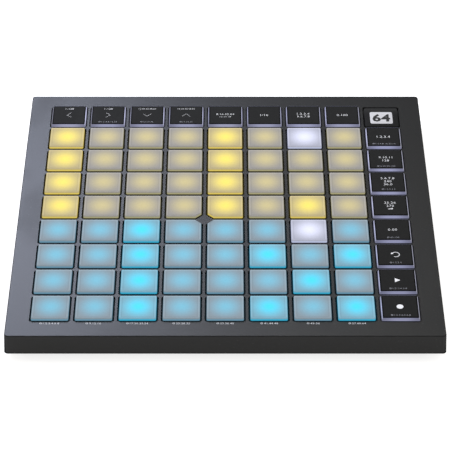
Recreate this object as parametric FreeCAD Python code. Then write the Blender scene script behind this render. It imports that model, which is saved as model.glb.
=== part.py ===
import FreeCAD
import Part

import math
import os

# A flat square controller with eight rows of eight pads, a row of buttons behind
# them, a column of buttons at their right and a lit tile in the corner between.
# X runs to the right, Y to the back, Z up. The origin is on the table, under the
# middle of the case. All sizes are in millimetres.

# Grid of keys
pitch = 24.1
keys_across = 9
web = 2.0
case_border = 12.05

# Case shells
case_corner_radius = 2.0
case_edge_radius = 0.5
case_foot_edge_radius = 0.3
wall = 2.2
wall_draft = 0.45
deck = 2.0
window_corner_radius = 1.2
window_chamfer = 0.3
diamond_reach = 5.3
tray_height = 4.5
tray_wall = 2.0
tray_floor = 2.0
tray_reveal = 0.8
tray_taper = 5.2
tray_corner_radius = 3.0
lip_wall = 1.5
lip_clearance = 0.15
lip_below_board_top = 0.3

# Pads and buttons
pad_gap = 0.7
pad_standout = 1.5
pad_corner_radius = 0.8
pad_bevel = 0.5
pad_bevel_drop = 0.4
pad_cap = 2.0
button_gap = 0.45
button_standout = 1.7
button_slope = 1.05
button_corner_radius = 1.0
button_cap = 1.6
flange = 1.0
flange_gap = 0.4
flange_clearance = 0.3
key_travel = 1.0
key_end_clearance = 0.2
skirt_width = 16.0
skirt_wall = 2.0
skirt_end_clearance = 0.1
tile_gap = 0.4

# Layers under the keys
mat = 1.0
mat_clearance = 0.3
shroud_height = 4.1
shroud_wall = 1.5
shroud_hub_wall = 1.0
film = 0.3
film_window_clearance = 0.5
board = 1.6
board_margin = 0.2
board_standoff = 3.0
led_width = 2.4
led_height = 1.0
led_lens_height = 0.25
led_lens_base_radius = 0.95
led_lens_top_radius = 0.75
layer_corner_radius = 1.0

# Chips under the board: width, depth and height
processor_size = (10.0, 10.0, 1.4)
memory_size = (5.2, 5.0, 1.5)
crystal_size = (3.2, 2.5, 0.8)
guard_size = (3.0, 3.0, 1.1)
regulator_size = (6.5, 3.5, 1.6)
driver_size = (7.0, 7.0, 0.9)
capacitor_size = (1.6, 0.8, 0.8)
chip_gap = 2.0
chip_edge_distance = 9.0

# Screws, posts and feet
boss_radius = 2.3
boss_clearance = 0.4
boss_hole_clearance = 0.4
screw_radius = 1.1
screw_head_radius = 2.1
screw_head_height = 1.5
screw_head_clearance = 0.25
screw_length = 10.0
screw_recess = 2.5
screw_bore_clearance = 0.05
screw_hole_clearance = 0.35
screw_tip_clearance = 0.5
cross_slot_length = 2.6
cross_slot_width = 0.6
cross_slot_depth = 0.8
post_radius = 2.5
screw_post_wall = 1.0
foot_radius = 8.0
foot_standout = 2.0
foot_seat = 0.6
foot_clearance = 0.15
foot_edge_radius = 0.6
foot_inset = 25.0

# Socket for the lead
socket_width = 8.94
socket_height = 3.26
socket_length = 7.3
socket_corner_radius = 1.3
socket_shell = 0.3
socket_recess = 0.8
socket_column = -2.5
socket_block = 2.0
socket_fit = 0.03
tongue_width = 6.7
tongue_thickness = 0.7
tongue_length = 4.4
port_clearance = 0.35
board_tab_width = 22.0
board_tab_clearance = 0.3

# Heights, counted up from the table
tray_bottom_z = foot_standout
tray_rim_z = tray_bottom_z + tray_height
floor_top_z = tray_bottom_z + tray_floor
board_bottom_z = floor_top_z + board_standoff
board_top_z = board_bottom_z + board
film_top_z = board_top_z + film
shroud_top_z = film_top_z + shroud_height
mat_top_z = shroud_top_z + mat
flange_bottom_z = mat_top_z + key_end_clearance + key_travel
flange_top_z = flange_bottom_z + flange
deck_bottom_z = flange_top_z + flange_clearance
case_top_z = deck_bottom_z + deck
pad_top_z = case_top_z + pad_standout
button_top_z = case_top_z + button_standout
skirt_bottom_z = film_top_z + key_travel + skirt_end_clearance
screw_seat_z = tray_bottom_z + screw_recess
screw_tip_z = screw_seat_z + screw_length
lip_top_z = board_top_z - lip_below_board_top

# Half widths, counted out from the middle of the case
grid_half = keys_across * pitch / 2
case_half = grid_half + case_border
case_foot_half = case_half + wall_draft
wall_inner_half = case_half - wall
window_half = (pitch - web) / 2
pad_half = window_half - pad_gap
button_half = window_half - button_gap
tile_half = window_half - tile_gap
flange_half = pitch / 2 - flange_gap
skirt_half = skirt_width / 2
skirt_inner_half = skirt_half - skirt_wall
mat_hole_half = skirt_half + mat_clearance
layer_half = grid_half + board_margin
tray_rim_half = case_foot_half - tray_reveal
tray_bottom_half = tray_rim_half - tray_taper
tray_inner_floor_half = tray_bottom_half - tray_wall
lip_half = wall_inner_half - lip_clearance
boss_offset = layer_half + boss_clearance + boss_radius
boss_hole_radius = boss_radius + boss_hole_clearance
diamond_offset = pitch / 2
pad_notch = diamond_reach + pad_gap * math.sqrt(2)
flange_notch = boss_hole_radius * math.sqrt(2)
foot_offset = case_half - foot_inset
socket_x = socket_column * pitch
socket_face_y = case_half - socket_recess
socket_z = board_top_z + socket_height / 2
board_tab_end_y = lip_half - lip_wall - board_tab_clearance

OVERCUT = 1.0
UP = FreeCAD.Vector(0, 0, 1)
MIDDLE = (keys_across - 1) / 2
BACK_ROW = keys_across - 1
RIGHT_COLUMN = keys_across - 1
PAD_COLUMNS = keys_across - 1
PAD_ROWS = keys_across - 1

BACK_BUTTONS = (
    "left_arrow_button",
    "right_arrow_button",
    "down_arrow_button",
    "up_arrow_button",
    "mode_button_1",
    "mode_button_2",
    "mode_button_3",
    "mode_button_4",
)
RIGHT_BUTTONS = (
    "side_button_1",
    "side_button_2",
    "side_button_3",
    "side_button_4",
    "side_button_5",
    "undo_button",
    "play_button",
    "record_button",
)


def column_x(column):
    """Middle of a column of keys, counted from 0 at the left."""
    return (column - MIDDLE) * pitch


def row_y(row):
    """Middle of a row of keys, counted from 0 at the front."""
    return (row - MIDDLE) * pitch


def diamond_place():
    """The crossing of the webs where the diamond and the middle screw are."""
    return -diamond_offset, -diamond_offset


def outline(half_x, half_y, radius, z, centre=(0.0, 0.0), notch=None):
    """A rectangle with round corners. A notch is (sign x, sign y, reach): that corner is
    cut straight across, where the distances from the crossing of the webs add up to reach."""
    cx, cy = centre
    points = []
    edges = []
    bend = 1 - math.sqrt(0.5)
    for sx, sy, swap in ((1, 1, False), (-1, 1, True), (-1, -1, False), (1, -1, True)):
        side_point = (sx * half_x, sy * (half_y - radius))
        end_point = (sx * (half_x - radius), sy * half_y)
        inner = (sx * (half_x - radius * bend), sy * (half_y - radius * bend))
        if notch and notch[:2] == (sx, sy):
            reach_x = pitch - notch[2] - half_y
            reach_y = pitch - notch[2] - half_x
            side_point = (sx * half_x, sy * reach_y)
            end_point = (sx * reach_x, sy * half_y)
            inner = None
        first, last = (end_point, side_point) if swap else (side_point, end_point)
        points.append((first, inner, last))
    placed = [
        [FreeCAD.Vector(cx + p[0], cy + p[1], z) if p else None for p in corner]
        for corner in points
    ]
    for i, (first, inner, last) in enumerate(placed):
        if inner:
            edges.append(Part.Arc(first, inner, last).toShape())
        else:
            edges.append(Part.LineSegment(first, last).toShape())
        following = placed[(i + 1) % len(placed)][0]
        edges.append(Part.LineSegment(last, following).toShape())
    return Part.Wire(edges)


def prism(wire, height):
    """A straight solid on a closed outline."""
    return Part.Face(wire).extrude(UP * height)


def frustum(lower, upper):
    """A solid between two like outlines, with straight sides."""
    return Part.makeLoft([lower, upper], True, True)


def slab(half_x, half_y, radius, bottom, top, centre=(0.0, 0.0), notch=None):
    """A rectangular block with round upright corners."""
    return prism(outline(half_x, half_y, radius, bottom, centre, notch), top - bottom)


def rod(radius, bottom, top, place):
    """An upright cylinder."""
    return Part.makeCylinder(
        radius, top - bottom, FreeCAD.Vector(place[0], place[1], bottom)
    )


def moved(shape, x, y):
    """A copy of a shape, moved in the plane of the deck."""
    copy = shape.copy()
    copy.translate(FreeCAD.Vector(x, y, 0))
    return copy


def sharp_square(half, z, centre):
    """A square outline with sharp corners."""
    cx, cy = centre
    corners = ((-half, -half), (half, -half), (half, half), (-half, half), (-half, -half))
    return Part.makePolygon([FreeCAD.Vector(cx + x, cy + y, z) for x, y in corners])


def circle(radius, z, place):
    """A round outline."""
    return Part.Wire(
        [Part.Circle(FreeCAD.Vector(place[0], place[1], z), UP, radius).toShape()]
    )


def cells():
    """Every place of the grid as (column, row, x, y)."""
    return [
        (column, row, column_x(column), row_y(row))
        for row in range(keys_across)
        for column in range(keys_across)
    ]


def notch_signs(column, row):
    """Which corner of a key lies on the diamond, as a pair of signs, or None."""
    place_x, place_y = diamond_place()
    dx = place_x - column_x(column)
    dy = place_y - row_y(row)
    if max(abs(dx), abs(dy)) > pitch:
        return None
    return (1 if dx > 0 else -1, 1 if dy > 0 else -1)


def layer_with_windows(bottom, top, hole_half, boss_hole):
    """A square layer under the keys, with a window under each and a hole for the middle boss."""
    outer = outline(layer_half, layer_half, layer_corner_radius, bottom)
    holes = [sharp_square(hole_half, bottom, (x, y)) for _, _, x, y in cells()]
    if boss_hole:
        holes.append(circle(boss_hole_radius, bottom, diamond_place()))
    face = Part.makeFace(Part.makeCompound([outer, *holes]), "Part::FaceMakerBullseye")
    return face.extrude(UP * (top - bottom))


def screw_places():
    """Screws at the corners, at the middles of the sides and under the diamond."""
    steps = (-boss_offset, 0.0, boss_offset)
    rim = [(x, y) for x in steps for y in steps if (x, y) != (0.0, 0.0)]
    return [*rim, diamond_place()]


def window_tool(notch):
    """What one window takes out of the deck: the well and its chamfered upper edge."""
    bottom = deck_bottom_z - OVERCUT
    reach = notch and (*notch, diamond_reach)
    well = slab(window_half, window_half, window_corner_radius, bottom, case_top_z, notch=reach)
    widened = notch and (*notch, diamond_reach - window_chamfer * math.sqrt(2))
    wide_half = window_half + window_chamfer
    wide_radius = window_corner_radius + window_chamfer
    edge = frustum(
        outline(
            window_half,
            window_half,
            window_corner_radius,
            case_top_z - window_chamfer,
            notch=reach,
        ),
        outline(wide_half, wide_half, wide_radius, case_top_z, notch=widened),
    )
    return well.fuse(edge).removeSplitter()


def port_tool():
    """The opening for the plug in the back wall."""
    half_x = socket_width / 2 + port_clearance
    half_z = socket_height / 2 + port_clearance
    radius = socket_corner_radius + port_clearance
    wire = outline(half_x, half_z, radius, 0.0)
    block = prism(wire, wall + wall_draft + 2 * OVERCUT)
    block.rotate(FreeCAD.Vector(0, 0, 0), FreeCAD.Vector(1, 0, 0), 90)
    block.translate(FreeCAD.Vector(socket_x, case_foot_half + OVERCUT, socket_z))
    return block


def make_top_case():
    """The upper shell: a deck with a window for each key, four walls that lean out a little
    towards their foot, and the screw bosses."""
    outer = frustum(
        outline(case_foot_half, case_foot_half, case_corner_radius, tray_rim_z),
        outline(case_half, case_half, case_corner_radius, case_top_z),
    )
    rim_edges = [
        edge
        for edge in outer.Edges
        if abs(edge.BoundBox.ZMin - case_top_z) < 1e-6
    ]
    outer = outer.makeFillet(case_edge_radius, rim_edges)
    foot_edges = [
        edge
        for edge in outer.Edges
        if abs(edge.BoundBox.ZMax - tray_rim_z) < 1e-6
    ]
    outer = outer.makeFillet(case_foot_edge_radius, foot_edges)
    inner_radius = case_corner_radius / 2
    hollow = slab(
        wall_inner_half, wall_inner_half, inner_radius, tray_rim_z - OVERCUT, deck_bottom_z
    )
    tools = [hollow, port_tool()]
    prototypes = {}
    for column, row, x, y in cells():
        signs = notch_signs(column, row)
        if signs not in prototypes:
            prototypes[signs] = window_tool(signs)
        tools.append(moved(prototypes[signs], x, y))
    shell = outer.cut(tools)
    bosses = [rod(boss_radius, board_bottom_z, deck_bottom_z, p) for p in screw_places()]
    bores = [
        rod(
            screw_radius + screw_bore_clearance,
            board_bottom_z - OVERCUT,
            screw_tip_z + screw_tip_clearance,
            p,
        )
        for p in screw_places()
    ]
    return shell.fuse(bosses).cut(bores)


def make_bottom_case():
    """The lower shell: a tapered tray with a lip, posts under the board and screw recesses."""
    body = frustum(
        outline(tray_bottom_half, tray_bottom_half, tray_corner_radius, tray_bottom_z),
        outline(tray_rim_half, tray_rim_half, tray_corner_radius, tray_rim_z),
    )
    lip = slab(lip_half, lip_half, case_corner_radius / 2, tray_rim_z - tray_floor, lip_top_z)
    body = body.fuse(lip)
    inner_radius = tray_corner_radius / 2
    inner_lip_half = lip_half - lip_wall
    cuts = [
        frustum(
            outline(
                tray_inner_floor_half, tray_inner_floor_half, inner_radius, floor_top_z
            ),
            outline(inner_lip_half, inner_lip_half, inner_radius, tray_rim_z),
        ),
        slab(inner_lip_half, inner_lip_half, inner_radius, tray_rim_z, lip_top_z + OVERCUT),
    ]
    body = body.cut(cuts)
    posts = [rod(post_radius, floor_top_z - OVERCUT, board_bottom_z, p) for p in post_places()]
    screw_post_radius = screw_head_radius + screw_head_clearance + screw_post_wall
    posts += [
        rod(screw_post_radius, floor_top_z - OVERCUT, board_bottom_z, p) for p in screw_places()
    ]
    body = body.fuse(posts)
    tools = []
    for place in screw_places():
        tools.append(
            rod(
                screw_radius + screw_hole_clearance,
                screw_seat_z - OVERCUT,
                board_bottom_z + OVERCUT,
                place,
            )
        )
        tools.append(
            rod(
                screw_head_radius + screw_head_clearance,
                tray_bottom_z - OVERCUT,
                screw_seat_z,
                place,
            )
        )
    for place in foot_places():
        tools.append(
            rod(
                foot_radius + foot_clearance,
                tray_bottom_z - OVERCUT,
                tray_bottom_z + foot_seat,
                place,
            )
        )
    return body.cut(tools)


def post_places():
    """Crossings of the webs where the tray holds the board up, without the middle screw's."""
    inner = pitch / 2
    outer = (keys_across - 2) * pitch / 2
    steps = (-outer, -inner, inner, outer)
    return [(x, y) for x in steps for y in steps if (x, y) != diamond_place()]


def foot_places():
    """The four corners where the feet are."""
    steps = (-foot_offset, foot_offset)
    return [(x, y) for x in steps for y in steps]


def make_circuit_board():
    """The main board, with a tab at the back under the socket."""
    plate = slab(layer_half, layer_half, layer_corner_radius, board_bottom_z, board_top_z)
    tab_length = board_tab_end_y - layer_half + OVERCUT
    tab = Part.makeBox(
        board_tab_width,
        tab_length,
        board,
        FreeCAD.Vector(
            socket_x - board_tab_width / 2, board_tab_end_y - tab_length, board_bottom_z
        ),
    )
    hole = rod(
        boss_hole_radius, board_bottom_z - OVERCUT, board_top_z + OVERCUT, diamond_place()
    )
    return plate.fuse(tab).cut(hole).removeSplitter()


def make_leds():
    """One light under each key and under the corner tile."""
    half = led_width / 2
    package_height = led_height - led_lens_height
    base = Part.makeBox(
        led_width, led_width, package_height, FreeCAD.Vector(-half, -half, board_top_z)
    )
    lens = Part.makeCone(
        led_lens_base_radius,
        led_lens_top_radius,
        led_lens_height,
        FreeCAD.Vector(0, 0, board_top_z + package_height),
    )
    led = base.fuse(lens)
    return Part.makeCompound([moved(led, x, y) for _, _, x, y in cells()])


def chip(x, y, size):
    """A component on the underside of the board."""
    width, depth, height = size
    corner = FreeCAD.Vector(x - width / 2, y - depth / 2, board_bottom_z - height)
    return Part.makeBox(width, depth, height, corner)


def beside(first, second):
    """How far apart the middles of two components in a row are."""
    return first[0] / 2 + chip_gap + second[0] / 2


def make_board_chips():
    """Processor, memory, light drivers, crystal, regulator and the parts round them."""
    processor_y = 2 * pitch
    guard_y = layer_half - chip_edge_distance
    memory_x = -beside(processor_size, memory_size)
    crystal_x = beside(processor_size, crystal_size)
    regulator_x = socket_x + beside(guard_size, regulator_size)
    chips = [
        chip(0, processor_y, processor_size),
        chip(memory_x, processor_y, memory_size),
        chip(crystal_x, processor_y, crystal_size),
        chip(socket_x, guard_y, guard_size),
        chip(regulator_x, guard_y, regulator_size),
    ]
    step = beside(driver_size, capacitor_size)
    for sx in (-1, 1):
        for sy in (-1, 1):
            driver_x = sx * 2 * pitch
            driver_y = sy * 2 * pitch
            chips.append(chip(driver_x, driver_y, driver_size))
            chips.append(chip(driver_x + step, driver_y, capacitor_size))
            chips.append(chip(driver_x - step, driver_y, capacitor_size))
    return Part.makeCompound(chips)


def upright(wire, length, face_y):
    """A solid on an outline drawn flat, stood up so that it faces the back and ends at face_y."""
    solid = prism(wire, length)
    solid.rotate(FreeCAD.Vector(0, 0, 0), FreeCAD.Vector(1, 0, 0), 90)
    solid.translate(FreeCAD.Vector(socket_x, face_y, socket_z))
    return solid


def make_usb_socket():
    """The socket in the back wall: a steel shell round a block with a tongue."""
    half_x = socket_width / 2
    half_z = socket_height / 2
    shell = upright(
        outline(half_x, half_z, socket_corner_radius, 0.0), socket_length, socket_face_y
    )
    inner_x = half_x - socket_shell
    inner_z = half_z - socket_shell
    inner_radius = socket_corner_radius - socket_shell
    bore = upright(
        outline(inner_x, inner_z, inner_radius, 0.0),
        socket_length + 2 * OVERCUT,
        socket_face_y + OVERCUT,
    )
    block_face_y = socket_face_y - socket_length + socket_block
    block = upright(
        outline(inner_x - socket_fit, inner_z - socket_fit, inner_radius - socket_fit, 0.0),
        socket_block,
        block_face_y,
    )
    tongue = Part.makeBox(
        tongue_width,
        tongue_length + OVERCUT,
        tongue_thickness,
        FreeCAD.Vector(
            socket_x - tongue_width / 2,
            block_face_y - OVERCUT,
            socket_z - tongue_thickness / 2,
        ),
    )
    return Part.makeCompound([shell.cut(bore), block.fuse(tongue)])


def make_sensor_film():
    """The pressure film on the board, with a small window over each light."""
    hole_half = led_width / 2 + film_window_clearance
    return layer_with_windows(board_top_z, film_top_z, hole_half, True)


def make_light_shroud():
    """The grid of walls that keeps each key's light to itself, with a hub round the boss."""
    cell_half = (pitch - shroud_wall) / 2
    lattice = layer_with_windows(film_top_z, shroud_top_z, cell_half, False)
    hub = rod(
        boss_hole_radius + shroud_hub_wall, film_top_z, shroud_top_z, diamond_place()
    )
    bore = rod(
        boss_hole_radius, film_top_z - OVERCUT, shroud_top_z + OVERCUT, diamond_place()
    )
    return lattice.fuse(hub).cut(bore).removeSplitter()


def make_rubber_mat():
    """The rubber sheet on the shroud that the keys spring from."""
    return layer_with_windows(shroud_top_z, mat_top_z, mat_hole_half, True)


def key_stem(notch, bottom):
    """The hidden part of a key, shared by pads and buttons: a flange under the deck and a
    skirt that comes down over the light."""
    reach = notch and (*notch, flange_notch)
    plate = slab(
        flange_half, flange_half, pad_corner_radius, flange_bottom_z, flange_top_z, notch=reach
    )
    skirt = slab(skirt_half, skirt_half, pad_corner_radius, bottom, flange_bottom_z)
    return plate.fuse(skirt)


def light_well(bottom, top):
    """The hollow inside a key's skirt."""
    return slab(
        skirt_inner_half, skirt_inner_half, pad_corner_radius, bottom - OVERCUT, top
    )


def make_pad(notch):
    """One pad, at the middle of its place."""
    reach = notch and (*notch, pad_notch)
    inner_reach = notch and (*notch, pad_notch + pad_bevel * math.sqrt(2))
    bevel_z = pad_top_z - pad_bevel_drop
    body = slab(pad_half, pad_half, pad_corner_radius, flange_top_z, bevel_z, notch=reach)
    bevel = frustum(
        outline(pad_half, pad_half, pad_corner_radius, bevel_z, notch=reach),
        outline(
            pad_half - pad_bevel,
            pad_half - pad_bevel,
            pad_corner_radius,
            pad_top_z,
            notch=inner_reach,
        ),
    )
    well = light_well(skirt_bottom_z, pad_top_z - pad_cap)
    return body.fuse([bevel, key_stem(notch, skirt_bottom_z)]).cut(well).removeSplitter()


def make_button():
    """One button, at the middle of its place, with sides that slope in to a flat top."""
    slope_z = case_top_z
    body = slab(button_half, button_half, button_corner_radius, flange_top_z, slope_z)
    slope = frustum(
        outline(button_half, button_half, button_corner_radius, slope_z),
        outline(
            button_half - button_slope,
            button_half - button_slope,
            button_corner_radius,
            button_top_z,
        ),
    )
    well = light_well(skirt_bottom_z, button_top_z - button_cap)
    return body.fuse([slope, key_stem(None, skirt_bottom_z)]).cut(well).removeSplitter()


def make_corner_tile():
    """The fixed tile in the back right corner, flush with the deck, over its own light."""
    x = column_x(RIGHT_COLUMN)
    y = row_y(BACK_ROW)
    plate = slab(tile_half, tile_half, window_corner_radius, flange_top_z, case_top_z)
    ledge = slab(flange_half, flange_half, pad_corner_radius, flange_bottom_z, deck_bottom_z)
    collar = slab(skirt_half, skirt_half, pad_corner_radius, mat_top_z, flange_bottom_z)
    well = light_well(mat_top_z, deck_bottom_z)
    return moved(plate.fuse([ledge, collar]).cut(well).removeSplitter(), x, y)


def make_case_screws():
    """Nine self-tapping screws with a cross slot, driven up from below."""
    head_bottom_z = screw_seat_z - screw_head_height
    head = rod(screw_head_radius, head_bottom_z, screw_seat_z, (0, 0))
    shank = rod(screw_radius, screw_seat_z, screw_tip_z, (0, 0))
    slots = []
    for along_x in (True, False):
        size_x = cross_slot_length if along_x else cross_slot_width
        size_y = cross_slot_width if along_x else cross_slot_length
        slots.append(
            Part.makeBox(
                size_x,
                size_y,
                cross_slot_depth + OVERCUT,
                FreeCAD.Vector(-size_x / 2, -size_y / 2, head_bottom_z - OVERCUT),
            )
        )
    screw = head.fuse(shank).cut(slots)
    return Part.makeCompound([moved(screw, x, y) for x, y in screw_places()])


def make_rubber_feet():
    """Four round feet seated in the tray."""
    foot = rod(foot_radius, 0.0, tray_bottom_z + foot_seat, (0, 0))
    lower = [edge for edge in foot.Edges if edge.BoundBox.ZMax < 1e-6]
    foot = foot.makeFillet(foot_edge_radius, lower)
    return Part.makeCompound([moved(foot, x, y) for x, y in foot_places()])


def save(name, shape):
    """Writes one named piece."""
    shape.exportStep(os.path.join("parts", name + ".step"))


def save_pads():
    """Writes the pads two by two along each row, the rows counted from the back."""
    prototypes = {}
    for row in range(PAD_ROWS):
        for first in range(0, PAD_COLUMNS, 2):
            pair = []
            for column in (first, first + 1):
                signs = notch_signs(column, row)
                if signs not in prototypes:
                    prototypes[signs] = make_pad(signs)
                pair.append(moved(prototypes[signs], column_x(column), row_y(row)))
            label = f"pads_row{PAD_ROWS - row}_col{first + 1}_{first + 2}"
            save(label, Part.makeCompound(pair))


def save_buttons():
    """Writes the buttons of the back row from the left, and of the right column from the back."""
    button = make_button()
    for column, name in enumerate(BACK_BUTTONS):
        save(name, moved(button, column_x(column), row_y(BACK_ROW)))
    for step, name in enumerate(RIGHT_BUTTONS):
        save(name, moved(button, column_x(RIGHT_COLUMN), row_y(BACK_ROW - 1 - step)))


def main():
    os.makedirs("parts", exist_ok=True)
    save("top_case", make_top_case())
    save("bottom_case", make_bottom_case())
    save("circuit_board", make_circuit_board())
    save("key_lights", make_leds())
    save("board_chips", make_board_chips())
    save("usb_socket", make_usb_socket())
    save("sensor_film", make_sensor_film())
    save("light_shroud", make_light_shroud())
    save("rubber_mat", make_rubber_mat())
    save("corner_tile", make_corner_tile())
    save("case_screws", make_case_screws())
    save("rubber_feet", make_rubber_feet())
    save_pads()
    save_buttons()


main()
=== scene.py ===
"""Dresses the pad controller: lit pads, buttons, legends, finishes and a plain studio."""

import math

import bmesh
import bpy
import numpy as np
from bpy.props import FloatProperty, FloatVectorProperty, PointerProperty
from mathutils import Euler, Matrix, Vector


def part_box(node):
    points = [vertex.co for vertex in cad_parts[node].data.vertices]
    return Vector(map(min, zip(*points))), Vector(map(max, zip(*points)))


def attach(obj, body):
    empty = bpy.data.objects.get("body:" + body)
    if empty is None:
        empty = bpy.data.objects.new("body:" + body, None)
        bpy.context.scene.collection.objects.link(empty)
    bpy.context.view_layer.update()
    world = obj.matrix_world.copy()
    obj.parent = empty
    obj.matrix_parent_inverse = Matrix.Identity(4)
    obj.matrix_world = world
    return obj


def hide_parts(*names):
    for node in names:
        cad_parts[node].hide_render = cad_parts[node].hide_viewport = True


bl_info = {
    "name": "Pad Controller",
    "version": (1, 0, 0),
    "blender": (4, 5, 0),
    "location": "3D View > Sidebar > Pad Controller",
    "description": "Builds the lit pads, the buttons, the legends and the finishes of a pad controller",
    "category": "Object",
}

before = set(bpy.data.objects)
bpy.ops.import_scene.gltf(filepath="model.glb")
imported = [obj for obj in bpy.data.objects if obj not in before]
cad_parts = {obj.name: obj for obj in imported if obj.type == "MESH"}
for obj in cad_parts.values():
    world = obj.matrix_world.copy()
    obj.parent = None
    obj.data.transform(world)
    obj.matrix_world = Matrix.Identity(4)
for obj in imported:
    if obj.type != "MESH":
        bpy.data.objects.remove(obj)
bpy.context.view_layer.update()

MM = 0.001
ROWS = 8
COLUMNS = 8
MIDDLE_COLUMN = 4
MIDDLE_ROW = 4
CASE_PITCHES = 10

WHITE = (1.0, 1.0, 1.0)
DUST = (0.30, 0.30, 0.30)
# Folds up to this angle are shaded smooth
SMOOTH_FOLD = math.radians(32)

# The rear half of the pads is lit yellow and the front half blue, dim unless named here.
# Rows count from the back and columns from the left, both from one.
BRIGHT_IN_ROW = {
    1: (1, 5),
    2: (1, 5),
    3: (1, 5),
    4: (1, 5, 7),
    5: (3,),
    6: (3, 6, 8),
    7: (3, 7),
    8: (3, 6, 8),
}
WHITE_PADS = ((1, 7), (5, 7))

BACK_KEYS = (
    "left_arrow",
    "right_arrow",
    "down_arrow",
    "up_arrow",
    "mode_1",
    "mode_2",
    "mode_3",
    "mode_4",
)
SIDE_KEYS = ("side_1", "side_2", "side_3", "side_4", "side_5", "undo", "play", "record")


def node_of(key):
    """The CAD node that a key stands for."""
    kind, _, number = key.rpartition("_")
    return f"{kind}_button_{number}" if number.isdigit() else f"{key}_button"


def tint(red, green, blue):
    """A colour read off a screen, 0 to 255, as the linear values that a shader takes."""
    level = np.array((red, green, blue)) / 255
    low = level / 12.92
    high = ((level + 0.055) / 1.055) ** 2.4
    return tuple(np.where(level <= 0.04045, low, high).tolist())


def length(name, description, default):
    """A property that holds a length in metres."""
    return FloatProperty(
        name=name, description=description, default=default, min=0.0, precision=5, unit="LENGTH"
    )


def colour(name, description, default):
    """A property that holds a linear colour."""
    return FloatVectorProperty(
        name=name, description=description, default=default, min=0.0, max=1.0, subtype="COLOR"
    )


first_low, first_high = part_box(node_of(BACK_KEYS[0]))
second_low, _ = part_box(node_of(BACK_KEYS[1]))
pad_low, pad_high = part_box("pads_row1_col1_2")
_, case_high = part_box("top_case")
tile_low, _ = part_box("corner_tile")
key_pitch = second_low.x - first_low.x


class PadControllerSizes(bpy.types.PropertyGroup):
    """Lengths that the new pieces are built from."""

    pitch: length("Pitch", "From one key to the next", key_pitch)
    case_half: length("Case half width", "Half the width of the deck", key_pitch * CASE_PITCHES / 2)
    case_top: length("Deck height", "Upper face of the deck", case_high.z)
    pad_top: length("Pad height", "Upper face of the pads", pad_high.z)
    pad_half: length("Pad half width", "Half the width of a pad at its wall", 10.22 * MM)
    pad_corner: length("Pad corner", "Radius of a pad's upright corners", 0.8 * MM)
    pad_edge: length("Pad edge", "Radius of the rounded upper edge of a pad", 0.5 * MM)
    pad_rim: length("Pad rim", "Width of the raised rim round a pad", 1.20 * MM)
    pad_dish: length("Pad dish", "How far a pad's face lies below its rim", 0.16 * MM)
    pad_cap: length("Pad cap", "Thickness of a pad over its light", 2.0 * MM)
    button_top: length("Button height", "Upper face of the buttons", first_high.z)
    button_half: length("Button half width", "Half the width of a button at the deck", 10.66 * MM)
    button_face: length("Button face", "Half the width of a button's flat top", 9.90 * MM)
    button_depth: length("Button depth", "Half the depth of a button's flat top", 9.88 * MM)
    button_back: length("Button back", "How far a button's top lies behind its middle", 0.22 * MM)
    button_corner: length("Button corner", "Radius of a button's upright corners", 0.5 * MM)
    button_cap: length("Button cap", "Thickness of a button over its light", 1.6 * MM)
    cap_height: length("Cap height", "Thickness of the black cap on a button", 0.30 * MM)
    flange_half: length("Flange half width", "Half the width of the flange under the deck", 11.65 * MM)
    flange_bottom: length("Flange underside", "Height of the flange's lower face", 15.2 * MM)
    flange_top: length("Flange top", "Height of the flange's upper face", 16.2 * MM)
    skirt_half: length("Skirt half width", "Half the width of the skirt round a light", 8.0 * MM)
    skirt_wall: length("Skirt wall", "Thickness of the skirt", 2.0 * MM)
    skirt_bottom: length("Skirt underside", "Height of the skirt's lower edge", pad_low.z)
    pad_cut: length("Pad cut", "Reach of the cut that clears the diamond at a pad", 7.20 * MM)
    diamond_reach: length("Diamond reach", "From the middle of the diamond to its tip", 5.85 * MM)
    flange_cut: length("Flange cut", "Reach of the cut that clears the middle boss", 3.82 * MM)
    tile_half: length("Tile half width", "Half the width of the corner tile", 10.30 * MM)
    tile_corner: length("Tile corner", "Radius of the tile's upright corners", 1.2 * MM)
    tile_ledge: length("Tile ledge", "Height of the tile's ledge under the deck", 16.5 * MM)
    window_half: length("Window half width", "Half the width of the tile's lit window", 6.9 * MM)
    window_depth: length("Window half depth", "Half the depth of the tile's lit window", 6.45 * MM)
    window_shift: length("Window shift", "How far the window lies in front of the middle", 0.6 * MM)
    ink: length("Ink", "Thickness of a printed legend", 0.03 * MM)


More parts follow.
